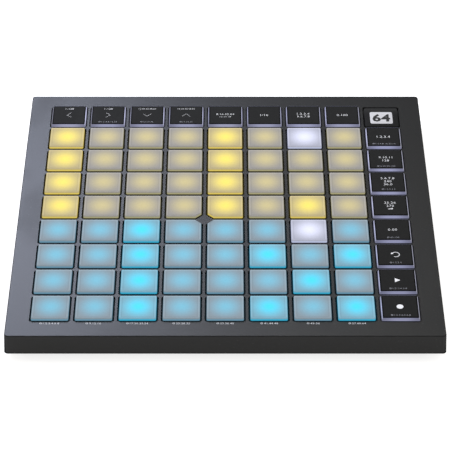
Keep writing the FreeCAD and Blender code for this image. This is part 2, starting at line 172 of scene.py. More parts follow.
class PadControllerColours(bpy.types.PropertyGroup):
    """Colours of the finishes and of the lights."""

    case: colour("Case", "Charcoal plastic of the upper shell", tint(27, 27, 27))
    tray: colour("Tray", "Plastic of the lower shell", tint(24, 24, 25))
    yellow: colour("Yellow", "Middle of a bright yellow pad", tint(249, 229, 114))
    yellow_edge: colour("Yellow edge", "Edge of a bright yellow pad", tint(181, 168, 128))
    yellow_wall: colour("Yellow wall", "Wall of a bright yellow pad", tint(222, 199, 98))
    dim_yellow: colour("Dim yellow", "Middle of a dim yellow pad", tint(217, 204, 154))
    dim_yellow_edge: colour("Dim yellow edge", "Edge of a dim yellow pad", tint(163, 160, 156))
    dim_yellow_wall: colour("Dim yellow wall", "Wall of a dim yellow pad", tint(184, 178, 136))
    white: colour("White", "Middle of a white pad", tint(230, 233, 255))
    white_edge: colour("White edge", "Edge of a white pad", tint(171, 173, 189))
    white_wall: colour("White wall", "Wall of a white pad", tint(188, 195, 223))
    cyan: colour("Cyan", "Middle of a bright cyan pad", tint(79, 221, 252))
    cyan_edge: colour("Cyan edge", "Edge of a bright cyan pad", tint(122, 164, 182))
    cyan_wall: colour("Cyan wall", "Wall of a bright cyan pad", tint(58, 171, 206))
    blue: colour("Blue", "Middle of a dim blue pad", tint(134, 203, 229))
    blue_edge: colour("Blue edge", "Edge of a dim blue pad", tint(145, 159, 169))
    blue_wall: colour("Blue wall", "Wall of a dim blue pad", tint(116, 163, 188))
    lilac: colour("Lilac", "Lit sides of a button", tint(166, 169, 203))
    lilac_end: colour("Lilac end", "Sides of a button near its corners", tint(132, 134, 162))
    frost: colour("Frost", "Outward sides of a button", tint(146, 146, 156))
    label: colour("Label", "Black cap of a button", tint(41, 41, 40))
    legend: colour("Legend", "Lit legends", tint(244, 245, 250))
    caption: colour("Caption", "Small unlit captions", tint(152, 153, 162))
    deck_print: colour("Deck print", "Captions on the deck", tint(205, 206, 212))
    tile: colour("Tile", "Corner tile", tint(41, 41, 41))
    window: colour("Window", "Lit window of the corner tile", tint(205, 205, 210))
    board: colour("Board", "Solder mask of the circuit board", tint(18, 74, 48))
    foot: colour("Foot", "Rubber of the feet", tint(30, 30, 31))
    steel: colour("Steel", "Shell of the socket", tint(196, 198, 202))


# Node trees


class Nodes:
    """Adds nodes to one tree and links them."""

    def __init__(self, tree):
        self.tree = tree

    def feed(self, socket, value):
        """Links a socket to another, or sets its plain value."""
        if isinstance(value, bpy.types.NodeSocket):
            self.tree.links.new(value, socket)
        elif getattr(socket, "type", "") == "RGBA" and len(value) == 3:
            socket.default_value = (*value, 1.0)
        else:
            socket.default_value = value

    def add(self, kind, inputs=None, **settings):
        """A node of a kind, with its settings and its inputs by name or number."""
        node = self.tree.nodes.new("ShaderNode" + kind)
        for name, value in settings.items():
            setattr(node, name, value)
        for name, value in (inputs or {}).items():
            self.feed(node.inputs[name], value)
        return node

    def math(self, operation, *values):
        """One sum on numbers."""
        return self.add("Math", dict(enumerate(values)), operation=operation).outputs[0]

    def in_turn(self, operation, first, *others):
        """A sum on several numbers, taken from the first to the last."""
        for other in others:
            first = self.math(operation, first, other)
        return first

    def plus(self, *values):
        """Numbers added up."""
        return self.in_turn("ADD", *values)

    def minus(self, first, second):
        """A number less another."""
        return self.math("SUBTRACT", first, second)

    def times(self, *values):
        """Numbers multiplied."""
        return self.in_turn("MULTIPLY", *values)

    def scaled(self, value, factor, base):
        """A number times a factor, on top of a base."""
        return self.math("MULTIPLY_ADD", value, factor, base)

    def size(self, value):
        """A number without its sign."""
        return self.math("ABSOLUTE", value)

    def most(self, *values):
        """The largest of several numbers."""
        return self.in_turn("MAXIMUM", *values)

    def least(self, *values):
        """The smallest of several numbers."""
        return self.in_turn("MINIMUM", *values)

    def wave(self, value, period):
        """The sine of a length that repeats over a period."""
        return self.math("SINE", self.times(value, 2 * math.pi / period))

    def vector(self, operation, *values):
        """One sum on vectors."""
        node = self.add("VectorMath", dict(enumerate(values)), operation=operation)
        return node.outputs["Value" if operation == "LENGTH" else "Vector"]

    def split(self, value):
        """The three parts of a vector."""
        return self.add("SeparateXYZ", {0: value}).outputs

    def join(self, x, y, z):
        """A vector from three numbers."""
        return self.add("CombineXYZ", {0: x, 1: y, 2: z}).outputs[0]

    def ramp(self, value, low, high, start=0.0, end=1.0):
        """A soft step: start below low, end above high."""
        node = self.add(
            "MapRange",
            {"Value": value, "From Min": low, "From Max": high, "To Min": start, "To Max": end},
            interpolation_type="SMOOTHSTEP",
        )
        return node.outputs["Result"]

    def mix(self, factor, first, second):
        """A colour between two others."""
        node = self.add("Mix", data_type="RGBA")
        # This node's sockets for colours come after those for numbers and for vectors
        for number, value in ((0, factor), (6, first), (7, second)):
            self.feed(node.inputs[number], value)
        return node.outputs[2]

    def shade(self, value, factor):
        """A colour times a number."""
        value = value if isinstance(value, bpy.types.NodeSocket) else tuple(value)
        node = self.add("VectorMath", {0: value}, operation="SCALE")
        self.feed(node.inputs["Scale"], factor)
        return node.outputs["Vector"]

    def place(self):
        """The place on the piece, in metres."""
        return self.add("TexCoord").outputs["Object"]

    def noise(self, vector, scale, detail=2.0, roughness=0.5):
        """Soft noise between 0 and 1."""
        node = self.add(
            "TexNoise",
            {"Vector": vector, "Scale": scale, "Detail": detail, "Roughness": roughness},
        )
        return node.outputs[0]

    def effect(self, tree, **inputs):
        """A shared effect, with its inputs by name."""
        node = self.add("Group", node_tree=tree)
        for name, value in inputs.items():
            self.feed(node.inputs[name.replace("_", " ")], value)
        return node.outputs

    def grain(self, scale):
        """The shared moulded grain."""
        return self.effect(effects()["Moulded Grain"], Scale=scale)

    def marks(self, scale):
        """The shared marks of hands and dust."""
        return self.effect(effects()["Handling"], Scale=scale)

    def spot(self):
        """Where a point lies on its own key."""
        return self.effect(effects()["Key Place"])

    def looked_at(self):
        """One for rays from the camera, a mirror or a clear piece, and nought for others."""
        path = self.add("LightPath").outputs
        return self.most(path["Is Camera Ray"], path["Is Glossy Ray"], path["Is Transmission Ray"])


def new_effect(name, inputs, outputs):
    """An empty node group with named sockets: its nodes, its inputs and its outputs."""
    tree = bpy.data.node_groups.new(name, "ShaderNodeTree")
    for label, kind, default in inputs:
        socket = tree.interface.new_socket(label, in_out="INPUT", socket_type="NodeSocket" + kind)
        socket.default_value = (*default, 1.0) if kind == "Color" else default
    for label, kind in outputs:
        tree.interface.new_socket(label, in_out="OUTPUT", socket_type="NodeSocket" + kind)
    source = tree.nodes.new("NodeGroupInput")
    sink = tree.nodes.new("NodeGroupOutput")
    return Nodes(tree), source.outputs, sink.inputs


def build_key_place(sizes):
    """Where a point lies on its own key: the grid's pitch is taken out of the place."""
    n, _, out = new_effect(
        "Key Place",
        (),
        (("Across", "Float"), ("Along", "Float"), ("Radius", "Float"), ("Height", "Float")),
    )
    half = sizes.pitch / 2
    deep = 1.0
    place = n.place()
    local = n.vector("WRAP", place, (half, half, deep), (-half, -half, -deep))
    x, y, z = n.split(local)
    n.feed(out["Across"], x)
    n.feed(out["Along"], y)
    n.feed(out["Radius"], n.vector("LENGTH", n.join(x, y, 0.0)))
    n.feed(out["Height"], z)


def build_key_light(sizes):
    """The light of a key through its plastic. The edge colour changes to the middle colour as a
    smooth step of the distance from the light, or as the square of that step in a channel that
    is darker in the middle. The rim and the back are lighter, a painted highlight, and the groove
    inside the rim and the front are darker, painted shade. The walls take a deeper colour that
    dies away below the deck, as painted shade in the gap."""
    n, given, out = new_effect(
        "Key Light",
        (
            ("Middle", "Color", (1, 1, 1)),
            ("Edge", "Color", (0.5, 0.5, 0.5)),
            ("Wall", "Color", (0.5, 0.5, 0.5)),
            ("Reach", "Float", 12.5 * MM),
            ("Rim", "Float", sizes.pad_top),
        ),
        (("Color", "Color"),),
    )
    light_across, light_along = 0.20 * MM, 0.55 * MM
    # Shares of painted highlight on the rim and the back, and of painted shade in the groove and at the
    # front
    rim_highlight, back_highlight, groove_shade, front_shade = 0.13, 0.17, 0.08, 0.16
    shade_below_deck = 0.04
    spot = n.spot()
    off_x = n.minus(spot["Across"], light_across)
    off_y = n.minus(spot["Along"], light_along)
    away = n.vector("LENGTH", n.join(off_x, off_y, 0.0))
    fade = n.ramp(away, 0.0, given["Reach"], 1.0, 0.0)
    change = n.vector("SUBTRACT", given["Middle"], given["Edge"])
    none = (0.0, 0.0, 0.0)
    gain = n.shade(n.vector("MAXIMUM", change, none), fade)
    loss = n.shade(n.vector("MINIMUM", change, none), n.math("POWER", fade, 2.0))
    top = n.vector("ADD", given["Edge"], n.vector("ADD", gain, loss))
    off_side = n.size(spot["Across"])
    outward = n.most(off_side, n.size(spot["Along"]))
    inner = sizes.pad_half - sizes.pad_rim
    # Painted highlight on the rim, and painted shade in the groove inside it
    rim = n.ramp(outward, inner, inner + 0.25 * MM, 0.0, rim_highlight)
    groove = n.times(
        n.ramp(outward, inner - 0.65 * MM, inner - 0.3 * MM, 0.0, groove_shade),
        n.ramp(outward, inner - 0.05 * MM, inner + 0.15 * MM, 1.0, 0.0),
    )
    # Painted highlight at the back of a key, and painted shade at its front
    back = n.ramp(spot["Along"], 8.0 * MM, 9.4 * MM, 0.0, back_highlight)
    front = n.ramp(spot["Along"], -10.2 * MM, -8.0 * MM, front_shade, 0.0)
    # The painted light and shade of the rim, the groove, the back and the front together
    relief = n.minus(n.plus(1.0, rim, back), n.plus(groove, front))
    below = n.minus(given["Rim"], spot["Height"])
    flank = n.ramp(off_side, sizes.pad_half - 0.14 * MM, sizes.pad_half - 0.02 * MM)
    side = n.most(n.ramp(below, 0.40 * MM, 0.85 * MM), flank)
    lit = n.mix(side, n.shade(top, relief), given["Wall"])
    # Painted shade: the light dies away in the gap below the deck
    depth = n.minus(sizes.case_top, spot["Height"])
    left = n.ramp(depth, -0.10 * MM, 0.50 * MM, 1.0, shade_below_deck)
    n.feed(out["Color"], n.shade(lit, left))


def build_grain():
    """Fine moulded grain: two scales of noise, as a height and as a spread of light and dark."""
    n, given, out = new_effect(
        "Moulded Grain",
        (("Scale", "Float", 2500.0),),
        (("Height", "Float"), ("Spread", "Float")),
    )
    coarser = 0.31
    fine_share = 0.7
    place = n.place()
    fine = n.noise(place, given["Scale"], detail=2.0)
    coarse = n.noise(place, n.times(given["Scale"], coarser), detail=1.0)
    height = n.plus(n.times(fine, fine_share), n.times(coarse, 1 - fine_share))
    n.feed(out["Height"], height)
    n.feed(out["Spread"], n.ramp(coarse, 0.35, 0.65))


def build_handling():
    """Marks of hands and dust. Smudges are slow noise, stretched a little and kept where it is
    high. Dust is fine noise kept where it is high, and where the slow noise is not low."""
    n, given, out = new_effect(
        "Handling",
        (("Scale", "Float", 30.0),),
        (("Smudge", "Float"), ("Dust", "Float")),
    )
    stretch = (1.0, 0.6, 1.0)
    speck_scale = 900.0
    place = n.place()
    stretched = n.vector("MULTIPLY", place, stretch)
    slow = n.noise(stretched, given["Scale"], detail=3.0, roughness=0.6)
    speck = n.noise(place, speck_scale, detail=1.0)
    n.feed(out["Smudge"], n.ramp(slow, 0.48, 0.72))
    n.feed(out["Dust"], n.times(n.ramp(speck, 0.68, 0.78), n.ramp(slow, 0.4, 0.7)))


def build_edge_wear_and_shade():
    """Wear on the outer edges of a square shell, and painted shade on its corners and foot. The
    mask, for the worn edges, is high where a point is near both the outline and the rim, broken
    up by noise. The edge, for the painted shade, is high on the upright corners and along the
    foot of the walls."""
    n, given, out = new_effect(
        "Edge Wear and Shade",
        (
            ("Half Width", "Float", 0.12),
            ("Rim", "Float", 0.0185),
            ("Foot", "Float", 0.003),
            ("Width", "Float", 0.6 * MM),
        ),
        (("Mask", "Float"), ("Edge", "Float")),
    )
    break_scale = 140.0
    place = n.place()
    x, y, z = n.split(n.vector("ABSOLUTE", place))
    width = given["Width"]
    from_x = n.minus(given["Half Width"], x)
    from_y = n.minus(given["Half Width"], y)
    rim = n.size(n.minus(given["Rim"], z))
    outline = n.most(n.least(from_x, from_y), rim)
    # The edge drives painted shade on the upright corners and along the foot
    edge = n.least(n.most(from_x, from_y), n.minus(z, given["Foot"]))
    broken = n.ramp(n.noise(place, break_scale, detail=3.0), 0.35, 0.6)
    n.feed(out["Mask"], n.times(n.ramp(outline, 0.0, width, 1.0, 0.0), broken))
    n.feed(out["Edge"], n.ramp(edge, 0.0, width, 1.0, 0.0))


def effects():
    """The shared effects, built once."""
    if "Key Place" not in bpy.data.node_groups:
        sizes = bpy.context.scene.pad_controller_sizes
        build_key_place(sizes)
        build_key_light(sizes)
        build_grain()
        build_handling()
        build_edge_wear_and_shade()
    return bpy.data.node_groups


def new_material(name, specular, roughness, metallic=0.0):
    """A material with its shader's plain values set: the material, its nodes and the shader."""
    material = bpy.data.materials.new(name)
    material.use_nodes = True
    shader = material.node_tree.nodes["Principled BSDF"]
    shader.inputs["Specular IOR Level"].default_value = specular
    shader.inputs["Roughness"].default_value = roughness
    shader.inputs["Metallic"].default_value = metallic
    return material, Nodes(material.node_tree), shader.inputs


def bump(n, shader, height, distance, strength=0.5):
    """Lets a height bend the shader's normal."""
    node = n.add("Bump", {"Strength": strength, "Distance": distance, "Height": height})
    n.feed(shader["Normal"], node.outputs["Normal"])


def shine(n, shader, seen, reflected, lit, power=1.0):
    """Shares the colour seen between what the plastic reflects and what shines through it."""
    n.feed(shader["Base Color"], n.shade(seen, reflected))
    n.feed(shader["Emission Color"], n.shade(seen, lit))
    shader["Emission Strength"].default_value = power


def paint(obj, *materials):
    """Gives a piece its materials, in the order of its slots. Its faces keep their numbers."""
    slots = obj.data.materials
    while len(slots) > len(materials):
        slots.pop()
    for number, material in enumerate(materials):
        if number < len(slots):
            slots[number] = material
        else:
            slots.append(material)


# Surfaces


def square_rings(half, radius, cut=None, cut_corner=None, depth=None):
    """Rings of points round squares with round corners, from the right side round to the left.
    A corner's points lie on an arc, at half - radius + radius times the cosine and sine of an
    angle that turns a quarter, with depth in place of half along y if it is given. In the
    corner that is cut, they lie on the straight line where x and y add up to cut, if that is
    nearer."""
    corner_points = 7
    depth = half if depth is None else depth
    half, depth, radius = (
        np.asarray(v, float)[:, None] for v in np.broadcast_arrays(half, depth, radius)
    )
    angle = np.linspace(0, math.pi / 2, corner_points)[None, :]
    rings = []
    quarter_turns = ((1, 0), (0, 1), (-1, 0), (0, -1))
    for quarter, (cosine, sine) in enumerate(quarter_turns):
        across, along = (half, depth) if quarter % 2 == 0 else (depth, half)
        u = across - radius + radius * np.cos(angle)
        v = along - radius + radius * np.sin(angle)
        if quarter == cut_corner:
            reach = np.asarray(cut, float)[:, None]
            step = np.linspace(0, 1, corner_points)[None, :]
            u_cut = half + (reach - 2 * half) * step
            v_cut = reach - u_cut
            nearer = reach < 2 * half - radius * (2 - math.sqrt(2))
            u = np.where(nearer, u_cut, u)
            v = np.where(nearer, v_cut, v)
        rings.append(np.stack((u * cosine - v * sine, u * sine + v * cosine), axis=-1))
    return np.concatenate(rings, axis=1)


def ring_faces(rings, around):
    """Quads between neighbouring rings of a closed grid, and fans to a pole at each end. The
    poles are the last two points, first the one below the first ring."""
    ring, step = np.meshgrid(np.arange(rings - 1), np.arange(around), indexing="ij")
    following = (step + 1) % around
    low = ring * around
    quads = np.stack(
        (low + step, low + following, low + around + following, low + around + step), axis=-1
    ).reshape(-1, 4)
    turn = np.arange(around)
    after = (turn + 1) % around
    below = np.full(around, rings * around)
    last = (rings - 1) * around
    lower = np.stack((below, after, turn), axis=-1)
    upper = np.stack((last + turn, last + after, below + 1), axis=-1)
    return quads.tolist() + lower.tolist() + upper.tolist()


def turned_surface(half, height, radius, cut=None, cut_corner=None, depth=None, back=None):
    """A closed surface whose level lines are square rings: the profile of half widths and
    heights is carried round the square, and each end of it closes at the middle. Each ring is
    moved back by its own length, if there is one."""
    flat = square_rings(half, radius, cut, cut_corner, depth)
    if back is not None:
        flat[..., 1] += np.asarray(back)[:, None]
    rings, around = flat.shape[:2]
    heights = np.broadcast_to(np.asarray(height, float)[:, None, None], (rings, around, 1))
    points = np.concatenate((flat, heights), axis=-1).reshape(-1, 3)
    poles = np.array(((0, 0, height[0]), (0, 0, height[-1])))
    return np.concatenate((points, poles)), ring_faces(rings, around)


def ribbon(line, width, bottom, top, closed=False):
    """A flat band: the line is offset by half the width to both sides, along the mean normal
    of its neighbouring runs made longer where it bends, and given a lower and an upper face."""
    line = np.asarray(line, float)
    before = np.roll(line, 1, axis=0)
    after = np.roll(line, -1, axis=0)
    if not closed:
        before[0] = 2 * line[0] - line[1]
        after[-1] = 2 * line[-1] - line[-2]
    run_in = (line - before) / np.linalg.norm(line - before, axis=1, keepdims=True)
    run_out = (after - line) / np.linalg.norm(after - line, axis=1, keepdims=True)
    mean = run_in + run_out
    mean /= np.linalg.norm(mean, axis=1, keepdims=True)
    normal = np.stack((-mean[:, 1], mean[:, 0]), axis=1)
    least_cosine = 0.35
    stretch = 1 / np.maximum((mean * run_in).sum(1, keepdims=True), least_cosine)
    left = line + normal * stretch * width / 2
    right = line - normal * stretch * width / 2
    count = len(line)
    section = [
        np.column_stack((side, np.full(count, z)))
        for side, z in ((left, bottom), (right, bottom), (right, top), (left, top))
    ]
    points = np.stack(section, axis=1).reshape(-1, 3)
    runs = count if closed else count - 1
    i, k = np.meshgrid(np.arange(runs), np.arange(4), indexing="ij")
    j, m = (i + 1) % count, (k + 1) % 4
    faces = np.stack((4 * i + k, 4 * i + m, 4 * j + m, 4 * j + k), axis=-1).reshape(-1, 4).tolist()
    if not closed:
        end = 4 * (count - 1)
        faces += [[3, 2, 1, 0], [end, end + 1, end + 2, end + 3]]
    return points, faces


def plate(outline, bottom, top):
    """A flat plate on an outline that goes round against the clock."""
    outline = np.asarray(outline, float)
    count = len(outline)
    points = np.concatenate(
        [np.column_stack((outline, np.full(count, z))) for z in (bottom, top)]
    )
    i = np.arange(count)
    j = (i + 1) % count
    sides = np.stack((i, j, j + count, i + count), axis=-1).tolist()
    return points, [i[::-1].tolist(), (i + count).tolist(), *sides]


def arc(radius, start, end, steps, middle=(0.0, 0.0)):
    """Points on an arc between two angles in degrees."""
    angle = np.radians(np.linspace(start, end, steps))
    return np.stack((np.cos(angle), np.sin(angle)), axis=1) * radius + np.asarray(middle)


def lettering(text, cap_height, bottom, top, weight, middle=(0.0, 0.0)):
    """Plain figures as a thin closed plate, centred on a place. cap_height is the height of a
    figure, which takes a share of the font's size, and weight makes its strokes wider."""
    figure_share = 0.71
    curve = bpy.data.curves.new("figures", "FONT")
    curve.body = text
    curve.align_x = "CENTER"
    curve.size = 1.0
    curve.space_character = 1.06
    curve.resolution_u = 2
    curve.extrude = 0.5
    curve.offset = weight
    holder = bpy.data.objects.new("figures", curve)
    bpy.context.scene.collection.objects.link(holder)
    ready = holder.evaluated_get(bpy.context.evaluated_depsgraph_get())
    mesh = bpy.data.meshes.new_from_object(ready)
    count = len(mesh.vertices)
    points = np.empty(count * 3)
    mesh.vertices.foreach_get("co", points)
    points = points.reshape(-1, 3)
    faces = [list(p.vertices) for p in mesh.polygons]
    scale = cap_height / figure_share
    centre_x = (points[:, 0].min() + points[:, 0].max()) / 2
    flat = (points[:, :2] - (centre_x, figure_share / 2)) * scale + np.asarray(middle)
    level = bottom + (points[:, 2] + 0.5) * (top - bottom)
    bpy.data.objects.remove(holder)
    bpy.data.curves.remove(curve)
    bpy.data.meshes.remove(mesh)
    return np.column_stack((flat, level)), faces


def ringed_line(text, cap_height, levels, middle, weight, ring_radius, gap, ring_width, slot):
    """A line of figures with a small ring to its left, between two levels."""
    points, faces = lettering(text, cap_height, *levels, weight, middle)
    left = points[:, 0].min() - gap
    ring = arc(ring_radius, start=0, end=360, steps=17, middle=(left, middle[1]))[:-1]
    return [(points, faces, slot), (*ribbon(ring, ring_width, *levels, closed=True), slot)]


def joined(parts):
    """Several surfaces as one: points, faces and the material number of each face."""
    points, faces, slots = [], [], []
    count = 0
    for part_points, part_faces, slot in parts:
        points.append(part_points)
        faces += [[index + count for index in face] for face in part_faces]
        slots += [slot] * len(part_faces)
        count += len(part_points)
    return np.concatenate(points), faces, slots


def new_piece(name, points, faces, middle=(0.0, 0.0), slots=None, smooth=True):
    """A piece with its place in its mesh, shaded smooth except at its sharper folds."""
    mesh = bpy.data.meshes.new(name)
    placed = points + np.array((*middle, 0.0))
    mesh.from_pydata(placed.tolist(), [], faces)
    if slots:
        mesh.polygons.foreach_set("material_index", slots)
    if smooth:
        mesh.shade_smooth()
        mesh.set_sharp_from_angle(angle=SMOOTH_FOLD)
    mesh.validate()
    obj = bpy.data.objects.new(name, mesh)
    bpy.context.scene.collection.objects.link(obj)
    return obj


def weld(obj):
    """Merges the doubled points of a piece, so that its surface is closed."""
    same_point = 0.5e-6
    work = bmesh.new()
    work.from_mesh(obj.data)
    bmesh.ops.remove_doubles(work, verts=work.verts, dist=same_point)
    work.to_mesh(obj.data)
    work.free()


# Places of the keys


def key_middle(column, row):
    """Middle of a key, counted from the back left one."""
    pitch = bpy.context.scene.pad_controller_sizes.pitch
    return (column - MIDDLE_COLUMN) * pitch, (MIDDLE_ROW - row) * pitch


def keys():
    """Every button: its name and its middle."""
    back = [(name, key_middle(i, 0)) for i, name in enumerate(BACK_KEYS)]
    side = [(name, key_middle(COLUMNS, i + 1)) for i, name in enumerate(SIDE_KEYS)]
    return back + side


def stem(sizes, ceiling):
    """The hidden part of a key as half widths and heights: from the middle of the ceiling over
    the light, down the inside of the skirt, up its outside and round the flange."""
    inner = sizes.skirt_half - sizes.skirt_wall
    half = [inner / 2, inner, inner, sizes.skirt_half, sizes.skirt_half]
    height = [ceiling, ceiling, sizes.skirt_bottom, sizes.skirt_bottom, sizes.flange_bottom]
    half += [sizes.flange_half, sizes.flange_half]
    height += [sizes.flange_bottom, sizes.flange_top]
    return half, height


def pad_surface(sizes, cut_corner):
    """A pad: its stem, an upright wall, an edge rounded over a quarter turn, a narrow rim, and
    a flat face. Between the rim and the face the height falls by dish * s * s * (3 - 2 * s),
    with s from nought to one."""
    edge = sizes.pad_edge
    dish = sizes.pad_dish
    least_radius = 0.35 * MM
    face_half = np.array((8.0, 6.0, 3.5, 1.5)) * MM
    face_radius = np.array((1.2, 2.4, 3.0, 1.5)) * MM
    close = 1e-6
    half, height = stem(sizes, sizes.pad_top - sizes.pad_cap)
    turn = np.radians(np.linspace(0, 90, 6))
    half += [sizes.pad_half]
    height += [sizes.flange_top]
    half += (sizes.pad_half - edge + edge * np.cos(turn)).tolist()
    height += (sizes.pad_top - edge + edge * np.sin(turn)).tolist()
    slope = np.linspace(0, 1, 6)
    start = sizes.pad_half - edge - 0.2 * MM
    half += (start + (sizes.pad_half - sizes.pad_rim - start) * slope).tolist()
    height += (sizes.pad_top - dish * slope * slope * (3 - 2 * slope)).tolist()
    half = np.array([*half, *face_half])
    height = np.array(height + [sizes.pad_top - dish] * len(face_half))
    radius = np.full(len(half), sizes.pad_corner)
    radius[-len(face_half) :] = face_radius
    radius[0] = sizes.pad_corner / 2
    inset = sizes.pad_half - half
    on_edge = (inset > 0) & (height > sizes.flange_top) & (half > face_half[0] + close)
    radius = np.where(on_edge, np.maximum(sizes.pad_corner - inset, least_radius), radius)
    wall = sizes.pitch - sizes.pad_cut
    no_cut = 1.0
    cut = np.where(height > sizes.flange_top - close, wall - math.sqrt(2) * inset, no_cut)
    cut = np.where(half >= sizes.flange_half - close, sizes.pitch - sizes.flange_cut, cut)
    return turned_surface(half, height, radius, cut, cut_corner)


def button_side(sizes, height, face):
    """Half width of a button at a height, where its sides lean in to a face of a half width."""
    lean = (sizes.button_half - face) / (sizes.button_top - sizes.case_top)
    return sizes.button_half - lean * (height - sizes.case_top)


def button_lean(sizes, height):
    """How far a button's rings lie behind its middle: nothing up to the deck, and then more
    and more up to the top."""
    share = (np.array(height) - sizes.case_top) / (sizes.button_top - sizes.case_top)
    return sizes.button_back * np.clip(share, 0, 1)


def button_surface(sizes):
    """The lit body of a button: its stem, an upright wall, and four sides that lean in to the
    seat of the cap."""
    half, height = stem(sizes, sizes.button_top - sizes.button_cap)
    depth = list(half)
    seat = sizes.button_top - sizes.cap_height
    seat_border = 0.4 * MM
    rise = np.linspace(sizes.case_top, seat, 4)
    for line, face in ((half, sizes.button_face), (depth, sizes.button_depth)):
        line += [sizes.button_half, *button_side(sizes, rise, face).tolist()]
        line += [line[-1] - seat_border, line[-1] / 2]
    height += [sizes.flange_top, *rise.tolist(), seat, seat]
    skirt_points = 5
    radius = np.full(len(half), sizes.button_corner)
    radius[:skirt_points] = sizes.pad_corner
    radius[-1] = 2.0 * MM
    return turned_surface(half, height, radius, depth=depth, back=button_lean(sizes, height))


def cap_surface(sizes):
    """The black cap of a button: its sides go on with the lean of the body, over a small round
    edge to a flat face."""
    seat = sizes.button_top - sizes.cap_height
    top = sizes.button_top - sizes.ink
    inset = 0.01 * MM
    edge = 0.10 * MM
    bend = 0.3 * edge
    lines = []
    for face in (sizes.button_face, sizes.button_depth):
        levels = np.array((seat, top - edge, top))
        lower, shoulder, brink = button_side(sizes, levels, face) - inset
        upper = [brink - bend, brink - edge, brink - 3 * edge, brink / 2]
        lines.append([lower / 2, lower, shoulder, *upper])
    height = [seat, seat, top - edge, top - bend, top, top, top]
    radius = [2.0 * MM] + [0.4 * MM] * 5 + [2.0 * MM]
    return turned_surface(lines[0], height, radius, depth=lines[1], back=button_lean(sizes, height))


# Finishes


def case_finish(name, tone, half_width, rim, foot, roughness, specular, grain_scale, depth):
    """Moulded plastic with fine grain, faint smudges and dust in the grain. It is a little
    polished along the rim, and duller on its upright corners and along its foot, which are also
    darker as painted shade."""
    polished = (0.20, 0.20, 0.21)
    dust_share, polished_share = 0.10, 0.02
    edge_shade_tone = 0.12
    smudge_dulls, edge_dulls = 0.04, 0.55
    mark_scale, wear_and_shade_width = 24.0, 1.4 * MM
    material, n, shader = new_material(name, specular, roughness)
    grain = n.grain(grain_scale)
    marks = n.marks(mark_scale)
    wear_and_shade = n.effect(
        effects()["Edge Wear and Shade"], Half_Width=half_width, Rim=rim, Foot=foot, Width=wear_and_shade_width
    )
    spread = n.ramp(grain["Spread"], 0.0, 1.0, 0.94, 1.06)
    # Painted shade: the tone darkens on the upright corners and along the foot
    edge_shaded = n.shade(tone, n.times(spread, n.ramp(wear_and_shade["Edge"], 0.0, 0.8, 1.0, edge_shade_tone)))
    dusty = n.mix(n.times(marks["Dust"], dust_share), edge_shaded, DUST)
    worn = n.mix(n.times(wear_and_shade["Mask"], polished_share), dusty, polished)
    n.feed(shader["Base Color"], worn)
    dull = n.scaled(marks["Smudge"], smudge_dulls, roughness)
    n.feed(shader["Roughness"], n.scaled(wear_and_shade["Edge"], edge_dulls, dull))
    bump(n, shader, grain["Height"], depth)
    return material


def key_finish(name, middle, edge, wall, rim, power):
    """Frosted plastic over a light, brighter with the light's power."""
    glow_share = 0.62
    grain_scale, mark_scale = 3200.0, 60.0
    roughness, smudge_polishes = 0.57, 0.07
    material, n, shader = new_material(name, specular=0.05, roughness=roughness)
    light = n.effect(effects()["Key Light"], Middle=middle, Edge=edge, Wall=wall, Rim=rim)
    grain = n.grain(grain_scale)
    spread = n.ramp(grain["Spread"], 0.0, 1.0, 1.03, 1.06)
    shine(n, shader, n.shade(light["Color"], spread), 1.0 - glow_share, glow_share, power)
    marks = n.marks(mark_scale)
    n.feed(shader["Roughness"], n.scaled(marks["Smudge"], -smudge_polishes, roughness))
    bump(n, shader, grain["Height"], 0.012 * MM, strength=0.4)
    return material


def print_finish(name, tone, glow_share):
    """Ink, a little uneven, that shines by the given share: lit from behind where a light lies
    under it, and a painted glow where none does. The more it is lit, the less it reflects."""
    dimmed_by_light = 0.8
    material, n, shader = new_material(name, specular=0.2, roughness=0.5)
    grain = n.grain(6000.0)
    uneven = n.shade(tone, n.ramp(grain["Spread"], 0.0, 1.0, 0.93, 1.03))
    shine(n, shader, uneven, 1.0 - glow_share * dimmed_by_light, glow_share)
    bump(n, shader, grain["Height"], 0.004 * MM, strength=0.3)
    return material


def plain_finish(name, tone, roughness, specular, grain_scale, depth):
    """A solid colour with moulded grain and handling marks, for small parts."""
    mark_scale, smudge_dulls = 70.0, 0.10
    material, n, shader = new_material(name, specular, roughness)
    grain = n.grain(grain_scale)
    marks = n.marks(mark_scale)
    spread = n.ramp(grain["Spread"], 0.0, 1.0, 0.9, 1.1)
    n.feed(shader["Base Color"], n.shade(tone, spread))
    n.feed(shader["Roughness"], n.scaled(marks["Smudge"], smudge_dulls, roughness))
    bump(n, shader, grain["Height"], depth)
    return material


# Operators


